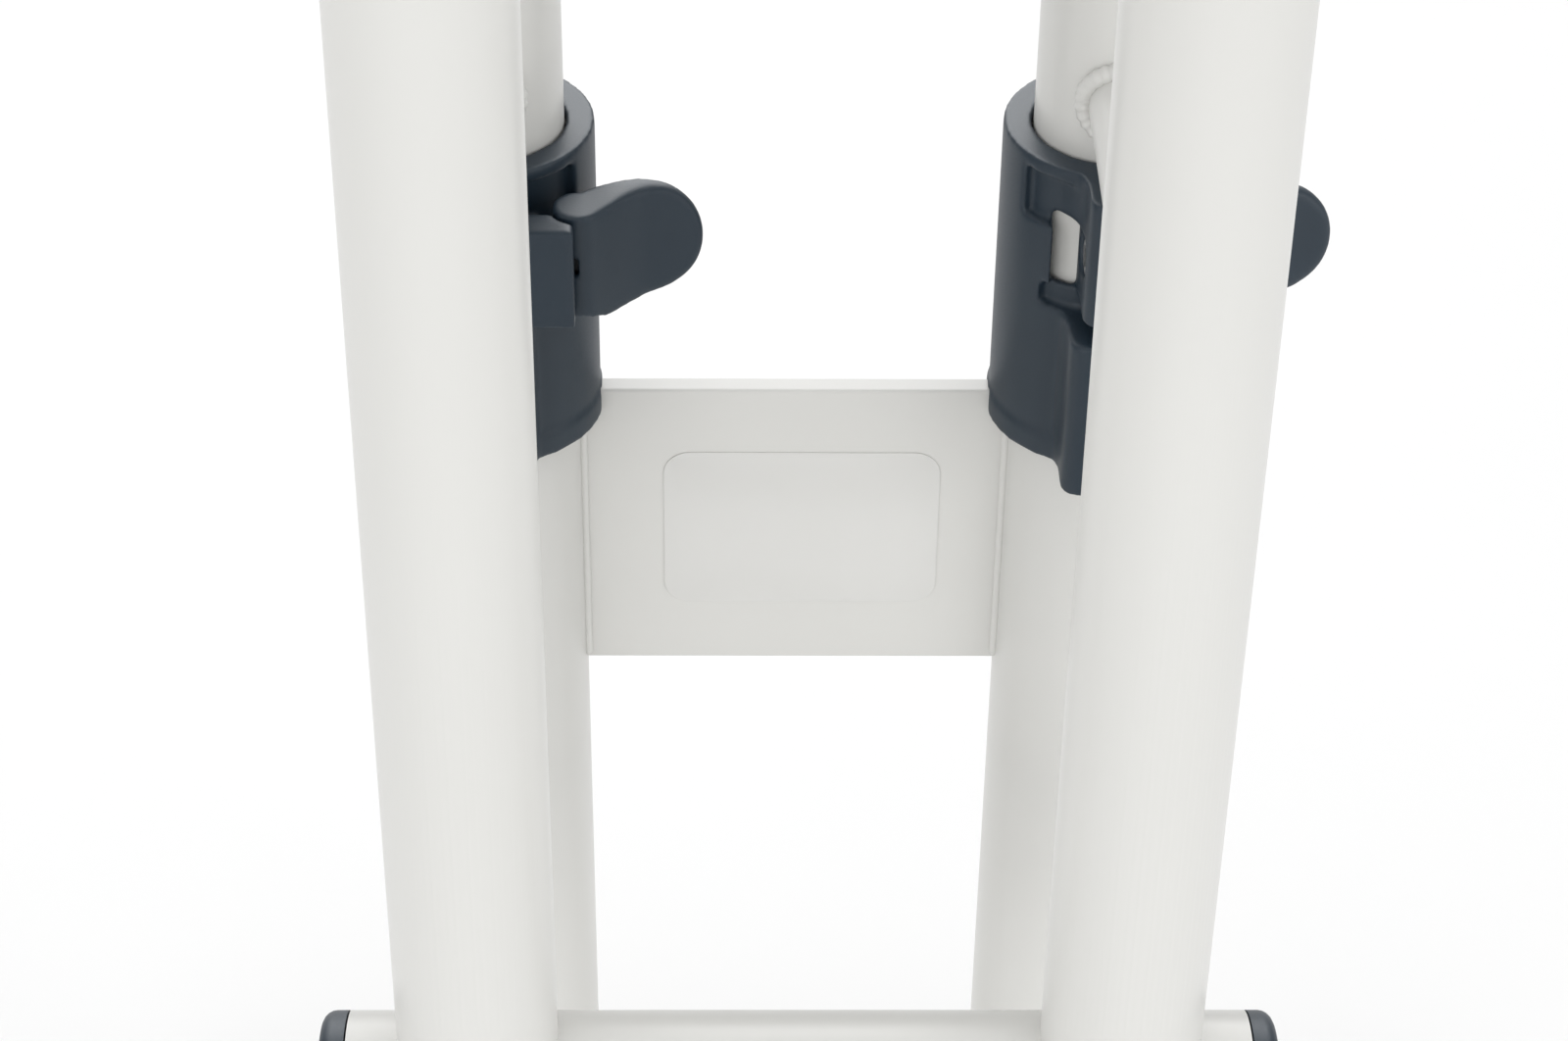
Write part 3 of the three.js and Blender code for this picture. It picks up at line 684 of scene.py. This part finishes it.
def crossPlate():
    half = plate["thickness"] / 2
    postRadius = post["diameter"] / 2
    bottom = stand["plateTop"] - plate["height"]
    low = (-stand["tubeX"], stand["postY"] - half, bottom)
    high = (stand["tubeX"], stand["postY"] + half, stand["plateTop"])
    mesh = block(low, high)
    lengthwise = [e for e in sharpEdges(mesh) if abs(e.verts[0].co.x - e.verts[1].co.x) > half]
    roundOff(mesh, lengthwise, plate["edge"], steps=4)
    cutters = [
        rod(postRadius - stand["sink"],
            (side * stand["tubeX"], stand["postY"], bottom - stand["past"]),
            plate["height"] + 2 * stand["past"], upright)
        for side in hands.values()
    ]
    mesh = carved(mesh, *cutters)
    seat = plate["weld"] * plate["weldSeat"]
    off = half + seat
    out = math.sqrt((postRadius + seat) ** 2 - off ** 2)
    for side in hands.values():
        for face in (-1, 1):
            x = side * (stand["tubeX"] - out)
            y = stand["postY"] + face * off
            line = straightLine((x, y, bottom + plate["weldShort"]),
                                (x, y, stand["plateTop"] - plate["weldShort"]))
            bead(mesh, line, plate["weld"], False, plate["ripple"])
    return mesh


label = {"width": 48, "height": 33, "corner": 4.5, "thickness": 0.25, "offset": 1.4, "edge": 0.1}


def labelBlank():
    halfWidth, halfHeight = label["width"] / 2, label["height"] / 2
    outline = rectangle(-halfWidth, -halfHeight, halfWidth, halfHeight)
    mesh = slab(outline, 0, label["thickness"], range(4), label["corner"], steps=8)
    top = [e for e in sharpEdges(mesh) if min(v.co.z for v in e.verts) > label["thickness"] / 2]
    roundOff(mesh, top, label["edge"], steps=2)
    height = stand["plateTop"] - plate["height"] / 2
    place = (label["offset"], stand["postY"] - plate["thickness"] / 2, height)
    return moved(rotated(mesh, 90, "X"), place)


# Base: foot tubes, rails, gussets, plugs and pads

base = {"diameter": 31.8, "wall": 1.6, "weld": 1.7}
gusset = {"length": 46, "height": 52, "thickness": 4, "nose": 4, "edge": 0.7, "weld": 1.3,
          "weldSeat": 0.35, "weldShort": 1}
pad = {"length": 30, "width": 24, "height": 11, "corner": 6, "inset": 26, "edge": 0.8,
       "groove": 1.0, "grooveWidth": 2.0, "grooves": 3, "margin": 0.5}


def baseRail(x):
    radius = base["diameter"] / 2
    start = (x, -stand["footY"], stand["footZ"])
    mesh = pipe(base["diameter"], base["wall"], start, 2 * stand["footY"], alongY)
    ends = [(-stand["footY"], 1), (stand["footY"], -1)]
    cutters = [
        rod(radius - stand["sink"], (x - 2 * radius, y, stand["footZ"]), 4 * radius, alongX,
            roundness["joint"])
        for y, _ in ends
    ]
    mesh = carved(mesh, *cutters)
    for y, side in ends:
        path = roundJoint(radius, radius, (x, y, stand["footZ"]), (0, side, 0), (0, 0, 1),
                          (1, 0, 0), base["weld"])
        bead(mesh, path, base["weld"])
    return mesh


def footTube(y):
    start = (-stand["footEnd"], y, stand["footZ"])
    return pipe(base["diameter"], base["wall"], start, 2 * stand["footEnd"], alongX)


def gussetPlate(x, side):  # side is 1 behind the post and -1 in front of it
    railTop = stand["footZ"] + base["diameter"] / 2 - stand["sink"]
    near = post["diameter"] / 2 - stand["sink"]
    far = near + gusset["length"]
    outline = [(near, railTop), (far, railTop), (far, railTop + gusset["nose"]),
               (near + gusset["nose"], railTop + gusset["height"]),
               (near, railTop + gusset["height"])]
    half = gusset["thickness"] / 2
    mesh = slab(outline, -half, half)
    outer = [e for e in sharpEdges(mesh) if max(v.co.y for v in e.verts) > railTop + half
             and max(v.co.x for v in e.verts) > near + half]
    roundOff(mesh, outer, gusset["edge"])
    lift, short = gusset["weld"] * gusset["weldSeat"], gusset["weldShort"]
    for face in (-1, 1):
        z = face * (half + lift)
        onRail = straightLine((near + lift + short, railTop + lift, z),
                              (far - short, railTop + lift, z))
        onPost = straightLine((near + lift, railTop + lift + short, z),
                              (near + lift, railTop + gusset["height"] - short, z))
        for line in (onRail, onPost):
            bead(mesh, line, gusset["weld"], False)
    return moved(rotated(rotated(mesh, 90, "X"), 90 * side, "Z"), (x, stand["postY"], 0))


def rubberPad(x, y):
    halfLength, halfWidth = pad["length"] / 2, pad["width"] / 2
    outline = rectangle(-halfLength, -halfWidth, halfLength, halfWidth)
    mesh = slab(outline, 0, pad["height"], range(4), pad["corner"], steps=8)
    roundOff(mesh, sharpEdges(mesh), pad["edge"])
    tube = rod(base["diameter"] / 2 + stand["fit"], (-pad["length"], 0, stand["footZ"]),
               2 * pad["length"], alongX, roundness["large"])
    cutters = [tube]
    pitch = pad["width"] / (pad["grooves"] + pad["margin"])
    for index in range(pad["grooves"]):
        across = (index - (pad["grooves"] - 1) / 2) * pitch
        low = (-pad["length"], across - pad["grooveWidth"] / 2, -stand["past"])
        high = (pad["length"], across + pad["grooveWidth"] / 2, pad["groove"])
        cutters.append(block(low, high))
    return moved(carved(mesh, *cutters), (x, y, 0))


for hand, side in hands.items():
    x = side * stand["tubeX"]
    node = hand.lower()
    finished(f"post{hand}", postTube(x), "base", "white_paint", [f"post_{node}"], crease=50)
    finished(f"baseRail{hand}", baseRail(x), "base", "white_paint",
             [f"base_rail_{node}"], crease=60)
    for end, direction in (("Front", -1), ("Rear", 1)):
        finished(f"gusset{hand}{end}", gussetPlate(x, direction), "base", "white_paint",
                 [f"post_gusset_{node}_{end.lower()}"], crease=50)
        y = direction * stand["footY"]
        footPlug = sidePlug(base["diameter"], base["wall"], stand["footEnd"], y,
                            stand["footZ"], side)
        finished(f"footPlug{end}{hand}", footPlug, "base", "black_nylon",
                 [f"foot_plug_{end.lower()}_{node}"])
        rubberBlock = rubberPad(side * (stand["footEnd"] - pad["inset"]), y)
        finished(f"rubberPad{end}{hand}", rubberBlock, "base", "black_rubber",
                 [f"rubber_pad_{end.lower()}_{node}"])
finished("footTubeFront", footTube(-stand["footY"]), "base", "white_paint", ["foot_tube_front"])
finished("footTubeRear", footTube(stand["footY"]), "base", "white_paint", ["foot_tube_rear"])
finished("crossPlate", crossPlate(), "base", "white_paint", ["cross_plate"], crease=50)
finished("labelBlank", labelBlank(), "base", "clear_film", ["label_blank"])
print("base and posts made")


# Clamps, modelled about the middle of the collar's top face

collar = {
    "height": 56.8, "wall": 3, "lip": 2.5, "rim": 0.5, "rimHeight": 4.4, "slit": 2,
    "earForward": 8.9, "earCorner": 3, "lowerEar": 7, "upperEar": 5.3, "horn": 14.8,
    "flank": 3.6, "flankForward": 4, "recess": 1.7, "recessDrop": 2.4, "recessHeight": 8.9,
    "recessSpread": 112, "hollowNear": 4, "hollowForward": 3.1, "hollowDrop": 9.5,
    "relief": 4, "reliefSpread": 82, "windowNear": 5.6, "windowWidth": 4.2, "windowDrop": 9.5,
    "windowHeight": 13.2, "flankPoints": 9, "grain": 0.4, "passes": 8,
}
lever = {
    "height": 20.6, "drop": 4.5, "flare": 1.6, "hub": 4, "near": 11, "cam": 0.4,
    "pinForward": 1.2, "swing": 60, "seam": 1.8,
    "reach": 19.5, "setBack": 4.8, "tip": 2.4, "tipRadius": 9.4, "rise": 1,
    "lean": 40,  # degrees from the hub's front to where the paddle's front leaves it
    "frontShares": ((0.308, 0.031), (0.436, 1)),  # the front curve's handles, of reach and set-back
    "backShares": (0.122, 1.186),  # and the back curve's
    "points": 24,  # on each curve
    "depth": 60,  # of the block that gives the contour seen from the front
    "grain": 0.35, "slotFit": 0.12,
    # how many times the skin is softened, all of it first, then what lies further from the pin
    "passes": ((-100, 9), (1, 5), (2.5, 5), (4, 6), (5.5, 7), (7, 8), (9, 10)),
    "regrow": 0.1, "regrowFrom": 1, "regrowOver": 8,
}
bolt = {"diameter": 3, "eye": 5.6, "edge": 0.3}
nut = {"flats": 5.5, "height": 2.3, "edge": 0.3}
pin = {"diameter": 3, "proud": 0.5, "cover": 2.2, "round": 0.4}
screw = {"diameter": 4, "head": 7, "headHeight": 3.6, "drop": 43, "blind": 1.5, "edge": 0.4,
         "access": 10}

past = stand["past"]
boreRadius = post["diameter"] / 2 + stand["fit"]
collarRadius = boreRadius + collar["wall"]
earFront = -collarRadius - collar["earForward"]
pinX = lever["near"] + stand["fit"] + lever["cam"] + lever["hub"]
pinY = -(collarRadius + lever["pinForward"])
leverTop = -lever["drop"]
leverBottom = leverTop - lever["height"]
hubBottom = leverBottom + lever["flare"]
boltZ = (leverTop + hubBottom) / 2
boltRoom = bolt["diameter"] / 2 + stand["fit"]
nutRadius = nut["flats"] / math.sqrt(3)
nutSeat = stand["fit"] + nut["height"] - collar["upperEar"]
lowerEarTop = leverBottom - lever["seam"]
screwY = -(collarRadius + collar["earForward"] / 2)


def wallBand(top, bottom, spread):  # a cutter for the front of the wall
    ring = rod(collarRadius + past, (0, 0, bottom), top - bottom, upright, roundness["large"])
    reach = 3 * collarRadius
    half = math.radians(spread / 2)
    wedge = slab([(0, 0), (-reach * math.sin(half), -reach * math.cos(half)),
                  (reach * math.sin(half), -reach * math.cos(half))], bottom - past, top + past)
    return combined(ring, [("DIFFERENCE", wallCore(bottom, top)), ("INTERSECT", wedge)])


def wallCore(low, high):  # what stays of the wall behind a recess, and all inside it
    return rod(collarRadius - collar["recess"], (0, 0, low - past), high - low + 2 * past, upright,
               roundness["large"])


def flankCorner(side, reach, low, high):  # the hollow corner between the wall and an ear
    far = reach + collar["flank"]
    corner = -math.sqrt(collarRadius ** 2 - reach ** 2)
    onWall = -math.sqrt((collarRadius - collar["recess"]) ** 2 - far ** 2)
    start, bend = Vector((side * far, onWall, 0)), Vector((side * reach, corner, 0))
    end = Vector((side * reach, corner - collar["flankForward"], 0))
    curve = bent(start, bend, end, collar["flankPoints"])
    outline = [(p.x, p.y) for p in curve] + [(0, end.y), (0, onWall)]
    return slab(outline, low, high)


def earBlock(left, right, low, high):
    outline = rectangle(left, earFront, right, -post["diameter"] / 2)
    return slab(outline, low, high, (0, 1), collar["earCorner"])


def earHollow():  # behind the upper right ear's top, as deep as the recess above it
    low = (collar["hollowNear"], -collarRadius - collar["hollowForward"], -collar["hollowDrop"])
    high = (collar["horn"], -post["diameter"] / 2, leverTop)
    return carved(block(low, high), wallCore(low[2], high[2]))


def clampCollar():
    height, fit = collar["height"], stand["fit"]
    bore, large = roundness["bore"], roundness["large"]
    rim = collarRadius + collar["rim"]
    rimTop = collar["rimHeight"] - height
    profile = [(0, -height), (rim, -height), (rim, rimTop), (collarRadius, rimTop),
               (collarRadius, 0), (0, 0)]
    body = turned(profile, roundness["collar"])
    recessTop = -collar["recessDrop"]
    reliefTop = -collar["windowDrop"] - collar["windowHeight"]
    upperLow = hubBottom + fit
    windowFar = collar["windowNear"] + collar["windowWidth"]
    window = block((-windowFar, -2 * collarRadius, reliefTop),
                   (-collar["windowNear"], 0, -collar["windowDrop"]))
    horn = slab([(0, earFront), (collar["horn"], earFront), (collar["horn"], pinY),
                 (lever["near"], pinY), (lever["near"], -post["diameter"] / 2),
                 (0, -post["diameter"] / 2)], upperLow, leverTop - fit)
    lowerEars = earBlock(-collar["lowerEar"], collar["lowerEar"], -height, lowerEarTop)
    added = [
        earBlock(-collar["upperEar"], collar["slit"], upperLow, 0),
        flankCorner(-1, collar["upperEar"], -collar["windowDrop"], 0),
        horn,
        lowerEars,
        flankCorner(-1, collar["lowerEar"], -height, lowerEarTop),
        flankCorner(1, collar["lowerEar"], -height, lowerEarTop),
    ]
    outside = -collar["upperEar"] - past
    hubPocket = rod(lever["hub"] + lever["cam"] + fit, (pinX, pinY, lowerEarTop),
                    recessTop - lowerEarTop, upright)
    screwEnd = collar["lowerEar"]
    plateHalf = plate["thickness"] / 2 + fit
    plateLine = stand["plateTop"] - stand["collarTop"] + fit
    removed = [
        hubPocket,
        rod(boltRoom, (outside, pinY, boltZ), pinX - outside, alongX, bore),
        rod(nutRadius + fit, (outside, pinY, boltZ), nutSeat + fit - outside, alongX, bore),
        earHollow(),
        block((-collar["slit"] / 2, earFront - past, -height - past),
              (collar["slit"] / 2, 0, past)),
        rod(boreRadius, (0, 0, -height - past), height + past - collar["lip"], upright, large),
        rod(hook["diameter"] / 2 + fit, (0, 0, -height), height + past, upright, large),
        block((-collarRadius - past, -plateHalf, -height - past),
              (collarRadius + past, plateHalf, plateLine)),
        rod(screw["diameter"] / 2 + fit, (screw["blind"] - screwEnd, screwY, -screw["drop"]),
            2 * screwEnd, alongX, bore),
        rod(screw["head"] / 2 + fit,
            (screwEnd - screw["headHeight"] - fit, screwY, -screw["drop"]),
            screw["access"], alongX, bore),
    ]
    hollows = [
        wallBand(recessTop, recessTop - collar["recessHeight"], collar["recessSpread"]),
        wallBand(reliefTop, reliefTop - collar["relief"], collar["reliefSpread"]),
        window,
    ]
    steps = [("DIFFERENCE", mesh) for mesh in hollows]
    steps += [("UNION", mesh) for mesh in added]
    steps += [("DIFFERENCE", mesh) for mesh in removed]
    return moulded(combined(body, steps), collar["grain"], collar["passes"])


def paddleOutline():  # the hub's front, the paddle's front and its back, seen from above
    reach, setBack = lever["reach"], lever["setBack"]
    tipX, tipFront = pinX + reach, pinY + setBack
    tipBack = tipFront + lever["tip"]
    lean = math.radians(lever["lean"])
    root = Vector((pinX - lever["cam"] + lever["hub"] * math.sin(lean),
                   pinY - lever["hub"] * math.cos(lean), 0))
    bends = [Vector((pinX + a * reach, pinY + b * setBack, 0)) for a, b in lever["frontShares"]]
    front = interpolate_bezier(root, *bends, Vector((tipX, tipFront, 0)), lever["points"])
    along, across = lever["backShares"]
    bend = Vector((pinX + along * reach, pinY + across * (tipBack - pinY), 0))
    end = Vector((pinX, pinY + lever["hub"] - lever["cam"], 0))
    back = bent(Vector((tipX, tipBack, 0)), bend, end, lever["points"])
    return [(pinX - lever["cam"], pinY - lever["hub"])] + [(p.x, p.y) for p in [*front, *back]]


def leverContour():  # the lever as seen from the front, as a block to cut it with
    radius, steps = lever["tipRadius"], lever["points"]
    centre = Vector((pinX + lever["reach"] - radius, leverTop - radius))
    angles = [math.radians(lever["rise"] - 90 + step * (180 - lever["rise"]) / steps)
              for step in range(steps + 1)]
    arc = [centre + radius * Vector((math.cos(a), math.sin(a))) for a in angles]
    side = [(0, hubBottom), (pinX, hubBottom), (pinX + lever["hub"], leverBottom)]
    outline = side + [(p.x, p.y) for p in arc] + [(0, leverTop)]
    return rotated(slab(outline, 0, lever["depth"]), 90, "X")


def clampLever():
    mesh = slab(paddleOutline(), leverBottom, leverTop)
    hub = rod(lever["hub"], (pinX - lever["cam"], pinY, leverBottom), lever["height"], upright,
              roundness["large"])
    hole = rod(pin["diameter"] / 2 + stand["fit"], (pinX, pinY, leverBottom - past),
               lever["height"] + past - pin["cover"] + stand["fit"], upright, roundness["pinBore"])
    mesh = combined(mesh, [
        ("UNION", hub), ("INTERSECT", leverContour()), ("DIFFERENCE", hole),
        ("DIFFERENCE", boltSlot()), ("DIFFERENCE", eyeRoom()),
    ])
    mesh = moulded(mesh, lever["grain"], 0)
    for start, passes in lever["passes"]:
        softened(mesh, [v for v in mesh.verts if v.co.x > pinX + start], passes)
    return regrown(mesh)


def regrown(mesh):  # gives the paddle back what the smoothing took
    lost = pinX + lever["reach"] - max(v.co.x for v in mesh.verts)
    middle = leverTop - lever["tipRadius"]
    for vert in mesh.verts:
        share = (vert.co.x - pinX - lever["regrowFrom"]) / lever["regrowOver"]
        share = min(max(share, 0), 1)
        share *= share * (3 - 2 * share)
        vert.co.x += share * lost
        vert.co.z += share * lever["regrow"] * (vert.co.z - middle)
    return mesh


def boltSlot():  # room in the hub for the bolt, which stays still while the lever swings
    reach = 2 * lever["hub"]
    last = math.radians(180 + lever["swing"])
    room = bolt["diameter"] / 2 + lever["slotFit"]
    edge = (pinX - room * math.sin(last), pinY + room * math.cos(last))
    outline = [(pinX - reach, pinY + room), (pinX + room, pinY + room), edge,
               (edge[0] + reach * math.cos(last), edge[1] + reach * math.sin(last)),
               (pinX - reach, pinY - reach)]
    return slab(outline, boltZ - room, boltZ + room)


def eyeRoom():  # and for its eye
    return rod(bolt["eye"] / 2 + stand["fit"], (pinX, pinY, boltZ - boltRoom), 2 * boltRoom,
               upright, roundness["shaft"])


def clampBolt():  # its eye goes round the pin, and its end lies in the nut
    start, radius = stand["fit"] - collar["upperEar"], bolt["diameter"] / 2
    shank = [(0, start), (radius, start), (radius, pinX), (0, pinX)]
    mesh = rotated(turned(shank, roundness["shaft"], [(1, bolt["edge"])]), 90, "Y")
    moved(mesh, (0, pinY, boltZ))
    wide = bolt["eye"] / 2
    eye = turned([(0, -radius), (wide, -radius), (wide, radius), (0, radius)],
                 roundness["eye"], [(1, bolt["edge"]), (2, bolt["edge"])])
    hole = rod(pin["diameter"] / 2 + stand["fit"], (pinX, pinY, boltZ - bolt["eye"]),
               2 * bolt["eye"], upright, roundness["pinBore"])
    return combined(mesh, [("UNION", moved(eye, (pinX, pinY, boltZ))), ("DIFFERENCE", hole)])


def clampNut():
    start = stand["fit"] - collar["upperEar"]
    mesh = rod(nutRadius, (start, pinY, boltZ), nut["height"], alongX, roundness["hexagon"])
    roundOff(mesh, sharpEdges(mesh, angle=80), nut["edge"], steps=2)
    hole = rod(boltRoom, (start - past, pinY, boltZ), nut["height"] + 2 * past, alongX,
               roundness["bore"])
    return carved(mesh, hole)


def leverPin():
    radius = pin["diameter"] / 2
    low, high = hubBottom - pin["proud"], leverTop - pin["cover"]
    profile = [(0, low), (radius, low), (radius, high), (0, high)]
    mesh = turned(profile, roundness["shaft"], [(1, pin["round"]), (2, pin["round"])])
    return moved(mesh, (pinX, pinY, 0))


def collarScrew():
    start = screw["blind"] + stand["fit"] - collar["lowerEar"]
    end = collar["lowerEar"]
    seat = end - screw["headHeight"]
    shank, head = screw["diameter"] / 2, screw["head"] / 2
    profile = [(0, start), (shank, start), (shank, seat), (head, seat), (head, end), (0, end)]
    mesh = turned(profile, roundness["shaft"], [(1, screw["edge"]), (4, screw["edge"])])
    socket = rod(shank, (0, 0, end - screw["headHeight"] / 2), screw["headHeight"], upright,
                 roundness["hexagon"])
    return moved(rotated(carved(mesh, socket), 90, "Y"), (0, screwY, -screw["drop"]))


clampMeshes = [
    ("clampCollar", clampCollar(), "base", "black_nylon", "clamp_collar"),
    ("clampLever", clampLever(), "lever", "black_nylon", "clamp_lever"),
    ("clampBolt", clampBolt(), "base", "black_steel", "clamp_bolt"),
    ("clampNut", clampNut(), "base", "zinc_steel", "clamp_nut"),
    ("leverPin", leverPin(), "base", "black_steel", "lever_pin"),
    ("collarScrew", collarScrew(), "base", "zinc_steel", "collar_screw"),
]
for hand, side in hands.items():
    place = (side * stand["tubeX"], stand["postY"], stand["collarTop"])
    for name, mesh, body, slot, node in clampMeshes:
        body = f"lever_{hand.lower()}" if body == "lever" else body
        finished(f"{name}{hand}", moved(mesh.copy(), place), body, slot,
                 [f"{node}_{hand.lower()}"])
print("clamps made")


# Floor, light and camera

studio = {
    "floorRadius": 8.0,
    "floorLook": {
        "light": (0.87, 0.87, 0.87), "shade": (0.8613, 0.8613, 0.8613), "cloud": (3, 2),
    },
    "floorRough": 0.8,
    "worldColour": (1.0, 1.0, 1.0),
    "worldStrength": 0.67,
    "lights": [  # name, place, size, power, whether it lights matt surfaces too
        ("rearSoftbox", (0.0, 2.2, 2.0), (3.0, 2.0), 90, False),
        ("rearFill", (-0.8, 2.6, 1.0), (2.4, 1.4), 12, True),
        ("topSoftbox", (0.0, 0.3, 2.4), (2.2, 2.2), 20, True),
        ("rightSoftbox", (2.3, -1.7, 1.1), (1.6, 2.0), 20, True),
        ("leftSoftbox", (-2.2, -1.6, 1.1), (1.6, 2.0), 9, True),
        ("frontSoftbox", (-0.6, -2.6, 0.9), (2.4, 1.4), 15, True),
    ],
    "aim": (0.0, 0.0, 0.3),
}


def floorFinish():
    values = {"Roughness": studio["floorRough"]}
    material, nodes, links, shader, coords = newFinish("paleFloor", values)
    cloudColour(nodes, links, coords, shader, studio["floorLook"])
    return material


floorMesh = bmesh.new()
bmesh.ops.create_circle(
    floorMesh, cap_ends=True, segments=roundness["large"], radius=studio["floorRadius"]
)
floorData = bpy.data.meshes.new("floor")
floorMesh.to_mesh(floorData)
floorMesh.free()
floorData.materials.append(floorFinish())
floor = bpy.data.objects.new("floor", floorData)
bpy.context.scene.collection.objects.link(floor)

world = bpy.data.worlds.new("paleRoom")
world.use_nodes = True
sky = world.node_tree.nodes["Background"]
sky.inputs["Color"].default_value = (*studio["worldColour"], 1)
sky.inputs["Strength"].default_value = studio["worldStrength"]
bpy.context.scene.world = world

for name, place, size, power, lightsMatt in studio["lights"]:
    lamp = bpy.data.lights.new(name, "AREA")
    lamp.shape = "RECTANGLE"
    lamp.size, lamp.size_y = size
    lamp.energy = power
    holder = bpy.data.objects.new(name, lamp)
    holder.location = place
    holder.visible_diffuse = lightsMatt
    aim = Vector(studio["aim"]) - Vector(place)
    holder.rotation_euler = aim.to_track_quat("-Z", "Y").to_euler()
    bpy.context.scene.collection.objects.link(holder)
bpy.context.scene.view_settings.view_transform = "Standard"

shot = {  # from the fit to the photograph, 1600 by 1062 pixels
    "place": (-0.0120, -0.4621, 0.6844),
    "pitch": 37.717,
    "yaw": 1.167,
    "roll": 0.823,
    "sensor": 36,
    "focalPixels": 3763,
    "imageWidth": 1600,
    "near": 0.01,
}


def photoCamera():
    lens = bpy.data.cameras.new("photoCamera")
    lens.sensor_width = shot["sensor"]
    lens.lens = shot["focalPixels"] / shot["imageWidth"] * shot["sensor"]
    lens.clip_start = shot["near"]
    pitch, yaw, roll = (math.radians(shot[key]) for key in ("pitch", "yaw", "roll"))
    ahead = Vector((math.sin(yaw) * math.cos(pitch), math.cos(yaw) * math.cos(pitch),
                    -math.sin(pitch)))
    right = Vector((math.cos(yaw), -math.sin(yaw), 0))
    up = right.cross(ahead)
    leanRight = math.cos(roll) * right + math.sin(roll) * up
    leanUp = math.cos(roll) * up - math.sin(roll) * right
    holder = bpy.data.objects.new("photoCamera", lens)
    matrix = Matrix((leanRight, leanUp, -ahead)).transposed().to_4x4()
    matrix.translation = shot["place"]
    holder.matrix_world = matrix
    bpy.context.scene.collection.objects.link(holder)
    return holder


bpy.context.scene.camera = photoCamera()
print("studio made")
